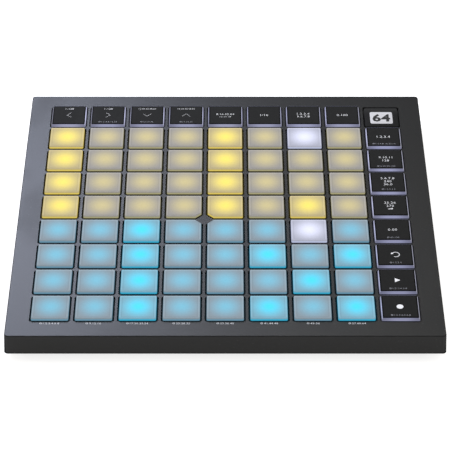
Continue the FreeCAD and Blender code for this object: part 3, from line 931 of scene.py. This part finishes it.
class PADCONTROLLER_OT_stage(bpy.types.Operator):
    """Puts the controller on a pale floor, in soft light, before the camera"""

    bl_idname = "pad_controller.stage"
    bl_label = "Stage"

    ceiling = 0.05
    overhead = 0.25
    fill = 0.52
    fill_tone = (1.0, 0.975, 0.93)
    floor_reach = 6.0
    floor_depth = 0.01
    floor_lift = 0.76
    # The soft lights: name, width and height, place, radiance and tone. Two stand behind the
    # controller for its deck to mirror, and a low one before it lights the upright faces.
    lights = (
        ("back_light", (0.353, 0.29), (-0.273, 0.82, 0.66), 21.6, (0.72, 0.775, 0.965)),
        ("middle_light", (0.416, 0.20), (0.064, 0.82, 0.856), 4.95, (1.0, 0.98, 0.88)),
        ("front_light", (1.8, 0.5), (0.0, -1.25, 0.30), 0.5, (1.0, 0.97, 0.92)),
    )
    camera_place = (0.0, -1.1242, 0.8182)
    camera_dip = math.radians(35.845)
    focal_length = 188.65
    sensor_width = 36.0
    shift = (-0.0005, -0.0001)

    def execute(self, context):
        scene = context.scene
        scene.view_settings.view_transform = "Standard"
        self.make_floor()
        self.make_world(scene)
        for light in self.lights:
            self.softbox(scene, *light)
        self.make_camera(scene)
        return {"FINISHED"}

    def make_floor(self):
        """A pale floor that keeps the shadow and stays white before the camera."""
        reach = self.floor_reach
        corners = ((-reach, -reach), (reach, -reach), (reach, reach), (-reach, reach))
        floor = new_piece("floor", *plate(corners, -self.floor_depth, 0.0), smooth=False)
        material, n, shader = new_material("floor_paper", specular=0.0, roughness=1.0)
        fibre = n.noise(n.place(), 60.0, 2.0)
        tone = n.ramp(fibre, 0.3, 0.7, 0.915, 0.925)
        n.feed(shader["Base Color"], n.join(tone, tone, tone))
        n.feed(shader["Emission Color"], WHITE)
        n.feed(shader["Emission Strength"], n.times(n.looked_at(), self.floor_lift))
        paint(floor, material)

    def make_world(self, scene):
        """A studio: a white backdrop that darkens to a plain ceiling where it is seen or
        mirrored, and an even fill elsewhere."""
        world = bpy.data.worlds.new("studio")
        world.use_nodes = True
        n = Nodes(world.node_tree)
        seen = n.looked_at()
        height = n.split(n.add("TexCoord").outputs["Generated"])[2]
        low = n.ramp(height, 0.10, 0.40, 1.0, self.ceiling)
        shown = n.plus(low, n.ramp(height, 0.52, 0.80, 0.0, self.overhead))
        strength = n.add("MapRange", {"Value": seen, "To Min": self.fill, "To Max": shown})
        background = world.node_tree.nodes["Background"].inputs
        n.feed(background["Color"], n.mix(seen, self.fill_tone, WHITE))
        n.feed(background["Strength"], strength.outputs["Result"])
        scene.world = world

    def softbox(self, scene, name, size, place, radiance, tone):
        """A soft light of an even radiance, turned towards the controller."""
        light = bpy.data.lights.new(name, "AREA")
        light.shape = "RECTANGLE"
        light.size, light.size_y = size
        light.energy = radiance * math.pi * size[0] * size[1]
        light.color = tone
        lamp = bpy.data.objects.new(name, light)
        lamp.location = place
        lamp.rotation_euler = (Vector() - lamp.location).to_track_quat("-Z", "Y").to_euler()
        lamp.visible_camera = False
        scene.collection.objects.link(lamp)

    def make_camera(self, scene):
        """The camera, over the front edge and looking down at the deck."""
        lens = bpy.data.cameras.new("camera")
        lens.sensor_width = self.sensor_width
        lens.lens = self.focal_length
        lens.clip_start = 0.05
        lens.shift_x, lens.shift_y = self.shift
        camera = bpy.data.objects.new("camera", lens)
        camera.location = self.camera_place
        camera.rotation_euler = Euler((math.pi / 2 - self.camera_dip, 0.0, 0.0))
        scene.collection.objects.link(camera)
        scene.camera = camera


class PADCONTROLLER_OT_case(bpy.types.Operator):
    """Finishes the two shells, the screws and the feet"""

    bl_idname = "pad_controller.case"
    bl_label = "Case"

    def execute(self, context):
        sizes = context.scene.pad_controller_sizes
        colours = context.scene.pad_controller_colours
        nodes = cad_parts
        case_low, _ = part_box("top_case")
        deck = case_finish(
            "charcoal_satin",
            colours.case,
            sizes.case_half,
            sizes.case_top,
            case_low.z,
            roughness=0.37,
            specular=0.22,
            grain_scale=2600.0,
            depth=0.012 * MM,
        )
        paint(nodes["top_case"], deck)
        diamond = new_piece("deck_diamond", *self.diamond_surface(sizes), key_middle(3.5, 4.5))
        paint(diamond, deck)
        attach(diamond, "case")
        tray_low, tray_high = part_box("bottom_case")
        tray = case_finish(
            "charcoal_textured",
            colours.tray,
            tray_high.x,
            tray_low.z,
            tray_low.z,
            roughness=0.75,
            specular=0.06,
            grain_scale=1500.0,
            depth=0.05 * MM,
        )
        paint(nodes["bottom_case"], tray)
        paint(nodes["case_screws"], self.screw_finish())
        paint(nodes["rubber_feet"], self.foot_finish(colours))
        return {"FINISHED"}

    def diamond_surface(self, sizes):
        """A square plate with a bevelled upper edge, turned by an eighth of a turn. It widens the
        crossing of the webs between the four middle pads."""
        bevel = 0.25 * MM
        tip_radius = 0.3 * MM
        half = sizes.diamond_reach / math.sqrt(2)
        top = sizes.case_top + 0.01 * MM
        bottom = sizes.case_top - 1.5 * MM
        line = [half / 2, half, half, half - bevel, half / 2]
        height = [bottom, bottom, top - bevel, top, top]
        points, faces = turned_surface(line, height, tip_radius)
        eighth = math.sqrt(0.5)
        return points @ np.array(((eighth, eighth, 0), (-eighth, eighth, 0), (0, 0, 1))), faces

    def screw_finish(self):
        """Blackened steel, brighter where the driver has rubbed the head."""
        low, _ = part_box("case_screws")
        blackened, bare = (0.035, 0.035, 0.04), (0.16, 0.16, 0.17)
        material, n, shader = new_material(
            "blackened_steel", specular=0.5, roughness=0.38, metallic=1.0
        )
        grain = n.grain(4000.0)
        height = n.split(n.place())[2]
        rubbed = n.ramp(height, low.z, low.z + 0.5 * MM, 1.0, 0.0)
        patch = n.times(rubbed, grain["Spread"])
        n.feed(shader["Base Color"], n.mix(patch, blackened, bare))
        n.feed(shader["Roughness"], n.scaled(patch, -0.1, 0.42))
        bump(n, shader, grain["Height"], 0.01 * MM)
        return material

    def foot_finish(self, colours):
        """Rubber with moulded rings and dust that it has picked up from the table."""
        low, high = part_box("rubber_feet")
        radius = 8.0 * MM
        ring_pitch = 0.9 * MM
        table_dust = (0.16, 0.155, 0.15)
        offset = (high.x - low.x) / 2 - radius
        material, n, shader = new_material("foot_rubber", specular=0.3, roughness=0.8)
        x, y, z = n.split(n.vector("ABSOLUTE", n.place()))
        away = n.vector("LENGTH", n.join(n.minus(x, offset), n.minus(y, offset), 0.0))
        rings = n.wave(away, ring_pitch)
        grain = n.grain(2200.0)
        marks = n.marks(260.0)
        low_part = n.ramp(z, 0.0, 0.8 * MM, 1.0, 0.0)
        dust = n.times(low_part, marks["Smudge"])
        n.feed(shader["Base Color"], n.mix(n.times(dust, 0.35), colours.foot, table_dust))
        n.feed(shader["Roughness"], n.scaled(dust, 0.12, 0.78))
        relief = n.scaled(n.times(rings, low_part), 0.5, grain["Height"])
        bump(n, shader, relief, 0.06 * MM)
        return material


class PADCONTROLLER_OT_pads(bpy.types.Operator):
    """Builds the sixty-four lit pads"""

    bl_idname = "pad_controller.pads"
    bl_label = "Pads"

    bright = 1.28
    dim = 1.0
    # The finishes by hue and by whether they are bright: the material and the colour it takes
    finishes = {
        ("yellow", True): ("pad_bright_yellow", "yellow"),
        ("yellow", False): ("pad_dim_yellow", "dim_yellow"),
        ("blue", True): ("pad_bright_cyan", "cyan"),
        ("blue", False): ("pad_dim_blue", "blue"),
        ("white", True): ("pad_white", "white"),
    }
    # The four pads round the diamond, by column and row, with the quarter that is cut
    cut_quarter = {(3, 4): 3, (4, 4): 2, (3, 5): 0, (4, 5): 1}

    def execute(self, context):
        sizes = context.scene.pad_controller_sizes
        colours = context.scene.pad_controller_colours
        materials = {
            light: self.finish(name, colours, key, sizes, self.bright if light[1] else self.dim)
            for light, (name, key) in self.finishes.items()
        }
        plain = pad_surface(sizes, None)
        for row in range(1, ROWS + 1):
            hue = "yellow" if row <= ROWS // 2 else "blue"
            for column in range(COLUMNS):
                light = (hue, column + 1 in BRIGHT_IN_ROW[row])
                if (row, column + 1) in WHITE_PADS:
                    light = ("white", True)
                quarter = self.cut_quarter.get((column, row))
                surface = plain if quarter is None else pad_surface(sizes, quarter)
                first = column - column % 2 + 1
                node = f"pads_row{row}_col{first}_{first + 1}"
                pad = new_piece(f"pad_row{row}_col{column + 1}", *surface, key_middle(column, row))
                paint(pad, materials[light])
                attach(pad, node)
                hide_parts(node)
        return {"FINISHED"}

    def finish(self, name, colours, key, sizes, power):
        """The frosted finish of one colour of light."""
        tones = [getattr(colours, key + part) for part in ("", "_edge", "_wall")]
        return key_finish(name, *tones, sizes.pad_top, power)


class PADCONTROLLER_OT_buttons(bpy.types.Operator):
    """Builds the sixteen buttons with their caps"""

    bl_idname = "pad_controller.buttons"
    bl_label = "Buttons"

    def execute(self, context):
        sizes = context.scene.pad_controller_sizes
        colours = context.scene.pad_controller_colours
        body_finish = self.body_finish(colours, sizes)
        cap_finish = self.cap_finish(colours, sizes)
        body = button_surface(sizes)
        cap = cap_surface(sizes)
        for name, middle in keys():
            node = node_of(name)
            for part, surface, finish in (("key", body, body_finish), ("cap", cap, cap_finish)):
                piece = new_piece(f"{name}_{part}", *surface, middle)
                paint(piece, finish)
                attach(piece, node)
                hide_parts(node)
        return {"FINISHED"}

    def cap_finish(self, colours, sizes):
        """Black film with fine grain, darker along its border where it bends down as painted shade,
        and a thin painted line of light along its back edge."""
        material, n, shader = new_material("cap_film", specular=0.035, roughness=0.6)
        grain = n.grain(3600.0)
        marks = n.marks(60.0)
        spot = n.spot()
        from_side = n.minus(sizes.button_face, n.size(spot["Across"]))
        off_middle = n.size(n.minus(spot["Along"], sizes.button_back))
        from_end = n.minus(sizes.button_depth, off_middle)
        # Painted shade along the border of the cap
        border = n.ramp(n.least(from_side, from_end), 0.50 * MM, 0.85 * MM, 0.25, 1.0)
        spread = n.ramp(grain["Spread"], 0.0, 1.0, 0.95, 1.05)
        uneven = n.shade(colours.label, n.times(spread, border))
        n.feed(shader["Base Color"], n.mix(n.times(marks["Dust"], 0.04), uneven, DUST))
        n.feed(shader["Roughness"], n.scaled(marks["Smudge"], -0.05, 0.6))
        # A painted line of light along the back edge of the cap
        edge = sizes.button_depth + sizes.button_back
        painted_edge_light = 0.8
        line = n.ramp(spot["Along"], edge - 0.22 * MM, edge - 0.10 * MM, 0.0, painted_edge_light)
        n.feed(shader["Emission Color"], n.shade(colours.lilac, line))
        shader["Emission Strength"].default_value = 1.0
        bump(n, shader, grain["Height"], 0.008 * MM)
        return material

    def body_finish(self, colours, sizes):
        """Frosted plastic with lilac light in its sides. The light is strongest at the middle of
        a side and in a line above the deck, and it dies away in the gap below the deck as painted
        shade. It grows towards the back of the case as painted light. The left and right sides have
        more of it, as painted light, where they face the middle of the case, towards the case's
        right and up to the cap, and turn to the plain frost as painted shade where they face away."""
        material, n, shader = new_material("button_frost", specular=0.2, roughness=0.5)
        spot = n.spot()
        x, y, _ = n.split(n.place())
        normal_x = n.split(n.add("TexCoord").outputs["Normal"])[0]
        run = n.least(n.size(spot["Across"]), n.size(spot["Along"]))
        near_middle = n.ramp(run, 2.0 * MM, 10.5 * MM, 1.0, 0.0)
        lit = n.mix(near_middle, colours.lilac_end, colours.lilac)
        height, low = spot["Height"], sizes.case_top
        line = n.ramp(height, low + 0.35 * MM, low + 0.60 * MM, 1.12, 1.0)
        # Painted shade in the gap below the deck
        shade_in_gap = n.ramp(height, low - 0.25 * MM, low + 0.08 * MM, 0.05, 1.0)
        # Painted light: brighter towards the back of the case
        painted_light_to_back = n.ramp(y, -85 * MM, 50 * MM, 0.94, 1.12)
        on_side = n.ramp(n.size(normal_x), 0.3, 0.7)
        # About one where a side near the case's border faces the middle of the case; it drives painted
        # light on the sides
        per_metre = 11.2
        inward = n.times(normal_x, x, -per_metre)
        # Painted light on sides turned to the middle of the case
        painted_facing_light = n.ramp(inward, -0.8, 1.2, 0.08, 0.64)
        # Painted light towards the case's right, up to the cap, and on sides turned to the right
        painted_light_to_right = n.ramp(x, 20 * MM, 100 * MM, 0.0, 0.25)
        painted_climb = n.ramp(height, low - 0.10 * MM, low + 1.30 * MM, -0.75, 0.36)
        right_facing_painted_gain = 0.20
        glow = n.scaled(normal_x, right_facing_painted_gain, 1.0)
        for gain in (painted_facing_light, painted_light_to_right, painted_climb):
            glow = n.times(glow, n.scaled(gain, on_side, 1.0))
        # Painted shade: sides turned away from the middle go to the plain frost
        frosted = n.times(on_side, n.ramp(inward, -1.0, 0.1, 0.75, 0.35))
        lit = n.mix(frosted, lit, colours.frost)
        seen = n.shade(lit, n.times(shade_in_gap, line, painted_light_to_back, glow))
        shine(n, shader, seen, reflected=0.5, lit=0.5)
        grain = n.grain(3200.0)
        n.feed(shader["Roughness"], n.scaled(grain["Spread"], 0.05, 0.48))
        bump(n, shader, grain["Height"], 0.01 * MM, strength=0.4)
        return material


class PADCONTROLLER_OT_legends(bpy.types.Operator):
    """Prints plain figures, arrows and signs on the buttons and the deck"""

    bl_idname = "pad_controller.legends"
    bl_label = "Legends"

    figure_weight = -0.012
    caption_weight = -0.01
    caption_y = -7.55 * MM
    heading_y = 7.0 * MM
    # The arrow buttons: the arrow's turn, the heading and its height, and the caption
    arrows = {
        "left_arrow": (180, "1-128", 1.6, ""),
        "right_arrow": (0, "1-128", 1.6, "1.2.4.8.16.32"),
        "down_arrow": (270, "12.24.36.48.60", 1.25, "12.24.36"),
        "up_arrow": (90, "12.24.36.48.60", 1.25, "12.24.36"),
    }
    # Lines of figures on the other buttons, with their middles and heights in millimetres
    lines = {
        "mode_1": [("8.16.32.64", 1.0, 1.8), ("1/2 1/4 1/8", -1.9, 1.1)],
        "mode_2": [("1/16", 0.0, 2.1)],
        "mode_3": [("1.2.3.4", 1.5, 2.1), ("5.6.7.8", -1.5, 2.0)],
        "mode_4": [("0.100", 0.0, 2.1)],
        "side_1": [("1.2.3.4", 0.0, 2.2)],
        "side_2": [("9.10.11", 1.7, 2.0), ("128", -1.5, 2.1)],
        "side_3": [("5.6.7.8", 3.8, 2.1), ("240", 0.6, 2.1), ("36.0", -2.5, 2.1)],
        "side_4": [("25.26", 2.8, 2.1), ("270", -0.3, 2.1)],
        "side_5": [("0.00", 0.0, 2.1)],
    }
    captions = {
        "side_1": "1.2.4.8.16.32.64",
        "side_2": "0.25.50.100",
        "side_3": "1.2.3.4.5",
        "side_5": "60.120",
        "undo": "1.2.3.4",
        "play": "1/2.1/4.1/8",
        "record": "1.2.3.4.5.6.8",
    }
    column_captions = (
        "1.2.3.4.5.8",
        "9.12.16",
        "17.20.22.24",
        "25.28.32",
        "33.36.40",
        "41.44.48",
        "49-56",
        "57.60.64",
    )

    def execute(self, context):
        sizes = context.scene.pad_controller_sizes
        colours = context.scene.pad_controller_colours
        self.top = sizes.button_top
        self.bottom = self.top - 1.5 * sizes.ink
        lit = print_finish("legend_lit", colours.legend, glow_share=0.6)
        # The captions have no light under them, so their shine is a painted glow
        unlit = print_finish("legend_caption", colours.caption, glow_share=0.35)
        for name, middle in keys():
            points, faces, slots = joined(self.sign(name))
            piece = new_piece(f"{name}_legend", points, faces, middle, slots, smooth=False)
            weld(piece)
            paint(piece, lit, unlit)
            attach(piece, node_of(name))
        self.deck_captions(sizes, colours)
        return {"FINISHED"}

    def text(self, words, y, height):
        """One lit line of figures on a button."""
        levels = (self.bottom, self.top)
        return (*lettering(words, height, *levels, self.figure_weight, (0.0, y)), 0)

    def caption(self, words):
        """A small unlit line near the front of a button, led by a ring."""
        return ringed_line(
            words,
            cap_height=1.3 * MM,
            levels=(self.bottom, self.top),
            middle=(0.9 * MM, self.caption_y),
            weight=self.caption_weight,
            ring_radius=0.5 * MM,
            gap=1.2 * MM,
            ring_width=0.25 * MM,
            slot=1,
        )

    def stroke(self, line, width):
        """A lit stroke on a button."""
        return (*ribbon(line, width, self.bottom, self.top), 0)

    def shape(self, outline):
        """A lit solid shape on a button."""
        return (*plate(outline, self.bottom, self.top), 0)

    def chevron(self, turn):
        """An open arrowhead that points right, turned by an angle."""
        line = np.array(((-1.35, 2.45), (1.35, 0.0), (-1.35, -2.45))) * MM
        cosine, sine = math.cos(math.radians(turn)), math.sin(math.radians(turn))
        return self.stroke(line @ np.array(((cosine, sine), (-sine, cosine))), width=0.12 * MM)

    def sign(self, name):
        """The signs on one button."""
        if name in self.arrows:
            turn, heading, high, caption = self.arrows[name]
            parts = [self.chevron(turn), self.text(heading, self.heading_y, high * MM)]
            return parts + (self.caption(caption) if caption else [])
        lines = self.lines.get(name, ())
        parts = [self.text(words, y * MM, high * MM) for words, y, high in lines]
        if name == "undo":
            parts += self.return_arrow()
        if name == "play":
            parts.append(self.shape(np.array(((-1.45, -1.8), (1.6, 0.0), (-1.45, 1.8))) * MM))
        if name == "record":
            parts.append(self.shape(arc(radius=1.88 * MM, start=0, end=352.5, steps=48)))
        if name == "side_4":
            parts += self.bars()
        if name in self.captions:
            parts += self.caption(self.captions[name])
        return parts

    def bars(self):
        """Four small upright bars of growing height."""
        pitch, half, foot = 0.75, 0.25, -3.9
        parts = []
        for i, high in enumerate((0.5, 0.8, 1.1, 1.4)):
            left, right = (i - 1.5) * pitch - half, (i - 1.5) * pitch + half
            top = foot + high
            outline = np.array(((left, foot), (right, foot), (right, top), (left, top)))
            parts.append(self.shape(outline * MM))
        return parts

    def return_arrow(self):
        """An open ring that comes back to the left, with a solid head at its upper end."""
        half_width, reach, overlap = 0.85 * MM, 1.15 * MM, 0.25 * MM
        ring = arc(radius=2.2 * MM, start=-115, end=148, steps=25, middle=(0.35 * MM, 0.0))
        tip, root = ring[-1], ring[-4]
        along = (tip - root) / np.linalg.norm(tip - root)
        across = np.array((-along[1], along[0]))
        base = tip - overlap * along
        side = half_width * across
        head = np.array((base + side, base - side, tip + reach * along))
        return [self.stroke(ring, width=0.38 * MM), self.shape(head)]

    def deck_captions(self, sizes, colours):
        """A pale line of figures in front of each column of pads, led by a small ring."""
        y = key_middle(0, ROWS)[1] - 12.8 * MM
        parts = []
        for column, words in enumerate(self.column_captions):
            parts += ringed_line(
                words,
                cap_height=1.5 * MM,
                levels=(sizes.case_top - 0.5 * sizes.ink, sizes.case_top + 0.5 * sizes.ink),
                middle=(key_middle(column, 0)[0] + 1.0 * MM, y),
                weight=0.004,
                ring_radius=0.55 * MM,
                gap=1.3 * MM,
                ring_width=0.28 * MM,
                slot=0,
            )
        points, faces, slots = joined(parts)
        piece = new_piece("deck_captions", points, faces, slots=slots, smooth=False)
        weld(piece)
        # The deck print has no light under it, so its shine is a painted glow
        paint(piece, print_finish("deck_print", colours.deck_print, glow_share=0.6))
        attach(piece, "case")


class PADCONTROLLER_OT_corner(bpy.types.Operator):
    """Builds the corner tile with its lit window"""

    bl_idname = "pad_controller.corner"
    bl_label = "Corner tile"

    def execute(self, context):
        sizes = context.scene.pad_controller_sizes
        colours = context.scene.pad_controller_colours
        middle = key_middle(COLUMNS, 0)
        tile = new_piece("corner_plate", *self.tile_surface(sizes), middle)
        paint(tile, self.tile_finish(colours, sizes))
        window_middle = (middle[0], middle[1] - sizes.window_shift)
        window = new_piece("corner_window", *self.window_surface(sizes), window_middle)
        paint(window, print_finish("window_lit", colours.window, glow_share=0.6))
        sign = new_piece("corner_sign", *self.sign_surface(sizes), window_middle, smooth=False)
        weld(sign)
        ink = plain_finish(
            "sign_ink",
            colours.tile,
            roughness=0.4,
            specular=0.15,
            grain_scale=5200.0,
            depth=0.004 * MM,
        )
        paint(sign, ink)
        for piece in (tile, window, sign):
            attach(piece, "case")
            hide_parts("corner_tile")
        return {"FINISHED"}

    def tile_finish(self, colours, sizes):
        """Smoked plastic with fine grain, paler towards its back edge as a painted reflection that
        it gives off as light."""
        material, n, shader = new_material("tile_satin", specular=0.02, roughness=0.6)
        grain = n.grain(5200.0)
        marks = n.marks(70.0)
        seen = n.shade(colours.tile, n.ramp(grain["Spread"], 0.0, 1.0, 0.9, 1.1))
        n.feed(shader["Base Color"], seen)
        # Painted reflection: the tile gives off more light towards its back edge
        start = sizes.window_depth - 4.0 * MM
        through = n.ramp(n.spot()["Along"], start, sizes.tile_half, 0.04, 0.65)
        n.feed(shader["Emission Color"], n.shade(seen, through))
        shader["Emission Strength"].default_value = 1.0
        n.feed(shader["Roughness"], n.scaled(marks["Smudge"], 0.10, 0.6))
        bump(n, shader, grain["Height"], 0.004 * MM)
        return material

    def tile_surface(self, sizes):
        """A plate flush with the deck, on a ledge and a collar round its light."""
        inner = sizes.skirt_half - sizes.skirt_wall
        edge = 0.12 * MM
        bend = 0.3 * edge
        half = [inner / 2, inner, inner, sizes.skirt_half, sizes.skirt_half]
        height = [sizes.tile_ledge, sizes.tile_ledge, tile_low.z, tile_low.z, sizes.flange_bottom]
        half += [sizes.flange_half, sizes.flange_half, sizes.tile_half]
        height += [sizes.flange_bottom, sizes.tile_ledge, sizes.tile_ledge]
        half += [sizes.tile_half, sizes.tile_half - bend, sizes.tile_half - edge]
        height += [sizes.case_top - edge, sizes.case_top - bend, sizes.case_top]
        half += [sizes.tile_half / 2]
        height += [sizes.case_top]
        radius = [sizes.pad_corner] * 7 + [sizes.tile_corner] * 4 + [3.0 * MM]
        return turned_surface(half, height, radius)

    def window_surface(self, sizes):
        """A thin white panel let into the tile."""
        edge = 0.03 * MM
        bevel = 0.05 * MM
        top = sizes.case_top + edge
        bottom = sizes.case_top - 0.3 * MM
        lines = [
            [half / 2, half, half, half - bevel, half / 2]
            for half in (sizes.window_half, sizes.window_depth)
        ]
        heights = [bottom, bottom, top - edge, top, top]
        radius = [3.0 * MM, *[1.2 * MM] * 3, 3.0 * MM]
        return turned_surface(lines[0], heights, radius, depth=lines[1])

    def sign_surface(self, sizes):
        """The number of pads in bold figures, a little proud of the window."""
        bottom = sizes.case_top
        top = sizes.case_top + 0.06 * MM
        return lettering(str(ROWS * COLUMNS), cap_height=7.6 * MM, bottom=bottom, top=top, weight=0.035)


class PADCONTROLLER_OT_inside(bpy.types.Operator):
    """Finishes the board, its parts, the socket and the layers under the keys"""

    bl_idname = "pad_controller.inside"
    bl_label = "Inside"

    def execute(self, context):
        colours = context.scene.pad_controller_colours
        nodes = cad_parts
        paint(nodes["circuit_board"], self.board_finish(colours))
        paint(nodes["key_lights"], self.light_finish())
        paint(nodes["board_chips"], self.chip_finish())
        paint(nodes["usb_socket"], self.socket_finish(colours))
        paint(nodes["sensor_film"], self.film_finish())
        white = plain_finish(
            "shroud_white",
            tint(226, 226, 222),
            roughness=0.5,
            specular=0.4,
            grain_scale=1800.0,
            depth=0.02 * MM,
        )
        paint(nodes["light_shroud"], white)
        rubber = plain_finish(
            "mat_rubber",
            tint(58, 58, 60),
            roughness=0.75,
            specular=0.3,
            grain_scale=1500.0,
            depth=0.03 * MM,
        )
        paint(nodes["rubber_mat"], rubber)
        return {"FINISHED"}

    def board_finish(self, colours):
        """Green mask over copper lines, with a tinned ring round each light."""
        material, n, shader = new_material("board_laminate", specular=0.5, roughness=0.35)
        radius = n.spot()["Radius"]
        tracks = n.add(
            "TexBrick",
            {
                "Vector": n.place(),
                "Scale": 160.0,
                "Mortar Size": 0.06,
                "Mortar Smooth": 0.3,
                "Brick Width": 1.7,
                "Row Height": 0.22,
            },
            offset=0.37,
        )
        line = tracks.outputs["Fac"]
        track, tin = tint(34, 104, 62), tint(206, 204, 196)
        ring = n.times(
            n.ramp(radius, 3.1 * MM, 3.2 * MM), n.ramp(radius, 3.9 * MM, 4.0 * MM, 1.0, 0.0)
        )
        n.feed(shader["Base Color"], n.mix(ring, n.mix(line, colours.board, track), tin))
        n.feed(shader["Metallic"], ring)
        n.feed(shader["Roughness"], n.scaled(line, 0.08, 0.32))
        bump(n, shader, line, 0.03 * MM)
        return material

    def light_finish(self):
        """White housings with an amber gel over the chip."""
        housing, amber = tint(236, 236, 232), tint(240, 206, 84)
        material, n, shader = new_material("light_emitter", specular=0.5, roughness=0.35)
        gel = n.ramp(n.spot()["Radius"], 0.85 * MM, 0.95 * MM, 1.0, 0.0)
        grain = n.grain(4000.0)
        n.feed(shader["Base Color"], n.mix(gel, housing, amber))
        n.feed(shader["Roughness"], n.scaled(grain["Spread"], 0.1, 0.3))
        bump(n, shader, grain["Height"], 0.01 * MM)
        return material

    def chip_finish(self):
        """Black epoxy, with tinned leads in a row near the board."""
        _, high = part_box("board_chips")
        board = high.z
        epoxy, tin = tint(38, 38, 40), tint(200, 200, 202)
        lead_pitch = 0.8 * MM
        material, n, shader = new_material("chip_epoxy", specular=0.4, roughness=0.5)
        grain = n.grain(3000.0)
        x, y, z = n.split(n.place())
        row = n.ramp(n.wave(n.plus(x, y), lead_pitch), -0.1, 0.1)
        leads = n.times(row, n.ramp(z, board - 0.36 * MM, board - 0.32 * MM))
        n.feed(shader["Base Color"], n.mix(leads, epoxy, tin))
        n.feed(shader["Metallic"], leads)
        n.feed(shader["Roughness"], n.scaled(grain["Spread"], 0.1, 0.45))
        bump(n, shader, grain["Height"], 0.015 * MM)
        return material

    def socket_finish(self, colours):
        """Drawn steel outside, and a black tongue with gold contacts inside."""
        low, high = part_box("usb_socket")
        centre = (low + high) / 2
        half = high - centre
        black, contact = tint(26, 26, 28), tint(232, 188, 96)
        contact_pitch = 0.5 * MM
        material, n, shader = new_material(
            "socket_steel", specular=0.5, roughness=0.3, metallic=1.0
        )
        place = n.place()
        x, _, z = n.split(place)
        off_x = n.size(n.minus(x, centre.x))
        off_z = n.size(n.minus(z, centre.z))
        within = [
            n.ramp(off, reach - 0.32 * MM, reach - 0.30 * MM, 1.0, 0.0)
            for off, reach in ((off_x, half.x), (off_z, half.z))
        ]
        inner = n.times(*within)
        tongue = n.ramp(off_z, 0.34 * MM, 0.36 * MM)
        on_tongue = n.times(
            n.ramp(off_z, 0.33 * MM, 0.345 * MM), n.ramp(off_z, 0.37 * MM, 0.39 * MM, 1.0, 0.0)
        )
        gold = n.times(n.ramp(n.wave(off_x, contact_pitch), 0.0, 0.2), on_tongue)
        brushed = n.noise(n.vector("MULTIPLY", place, (1.0, 0.05, 1.0)), 9000.0, 2.0)
        steel = n.shade(colours.steel, n.ramp(brushed, 0.3, 0.7, 0.85, 1.05))
        n.feed(shader["Base Color"], n.mix(inner, steel, n.mix(gold, black, contact)))
        bare = n.minus(1.0, inner)
        n.feed(shader["Metallic"], n.most(bare, gold))
        n.feed(shader["Roughness"], n.scaled(inner, 0.2, 0.28))
        bump(n, shader, n.plus(brushed, n.times(tongue, 0.1)), 0.008 * MM)
        return material

    def film_finish(self):
        """Amber film with printed silver fingers round each light."""
        material, n, shader = new_material("sensor_film", specular=0.5, roughness=0.3)
        amber, silver = tint(196, 142, 62), tint(190, 190, 188)
        finger_pitch = 1.2 * MM
        field = 8.2 * MM
        spot = n.spot()
        inside = [
            n.ramp(n.size(spot[way]), field, field + 0.1 * MM, 1.0, 0.0)
            for way in ("Across", "Along")
        ]
        comb = n.ramp(n.wave(spot["Across"], finger_pitch), 0.1, 0.3)
        finger = n.times(comb, n.times(*inside))
        grain = n.grain(1600.0)
        n.feed(shader["Base Color"], n.mix(finger, amber, silver))
        n.feed(shader["Metallic"], n.times(finger, 0.9))
        n.feed(shader["Roughness"], n.scaled(grain["Spread"], 0.1, 0.28))
        bump(n, shader, finger, 0.02 * MM)
        return material


OPERATORS = (
    PADCONTROLLER_OT_stage,
    PADCONTROLLER_OT_case,
    PADCONTROLLER_OT_inside,
    PADCONTROLLER_OT_pads,
    PADCONTROLLER_OT_buttons,
    PADCONTROLLER_OT_legends,
    PADCONTROLLER_OT_corner,
)


class PADCONTROLLER_PT_panel(bpy.types.Panel):
    """Lists the steps that build the controller, and its sizes and colours"""

    bl_label = "Pad Controller"
    bl_idname = "PADCONTROLLER_PT_panel"
    bl_space_type = "VIEW_3D"
    bl_region_type = "UI"
    bl_category = "Pad Controller"

    def draw(self, context):
        for operator in OPERATORS:
            self.layout.operator(operator.bl_idname)
        for title, group in (
            ("Sizes", context.scene.pad_controller_sizes),
            ("Colours", context.scene.pad_controller_colours),
        ):
            box = self.layout.box()
            box.label(text=title)
            for name in type(group).__annotations__:
                box.prop(group, name)


CLASSES = (PadControllerSizes, PadControllerColours, *OPERATORS, PADCONTROLLER_PT_panel)


def register():
    """Adds the classes, and the settings that a scene holds."""
    for cls in CLASSES:
        bpy.utils.register_class(cls)
    bpy.types.Scene.pad_controller_sizes = PointerProperty(type=PadControllerSizes)
    bpy.types.Scene.pad_controller_colours = PointerProperty(type=PadControllerColours)


def unregister():
    """Takes the settings and the classes away again."""
    del bpy.types.Scene.pad_controller_colours
    del bpy.types.Scene.pad_controller_sizes
    for cls in reversed(CLASSES):
        bpy.utils.unregister_class(cls)


def main():
    """Builds everything in order."""
    register()
    bpy.ops.pad_controller.stage()
    bpy.ops.pad_controller.case()
    bpy.ops.pad_controller.inside()
    bpy.ops.pad_controller.pads()
    bpy.ops.pad_controller.buttons()
    bpy.ops.pad_controller.legends()
    bpy.ops.pad_controller.corner()


if __name__ == "__main__":
    main()
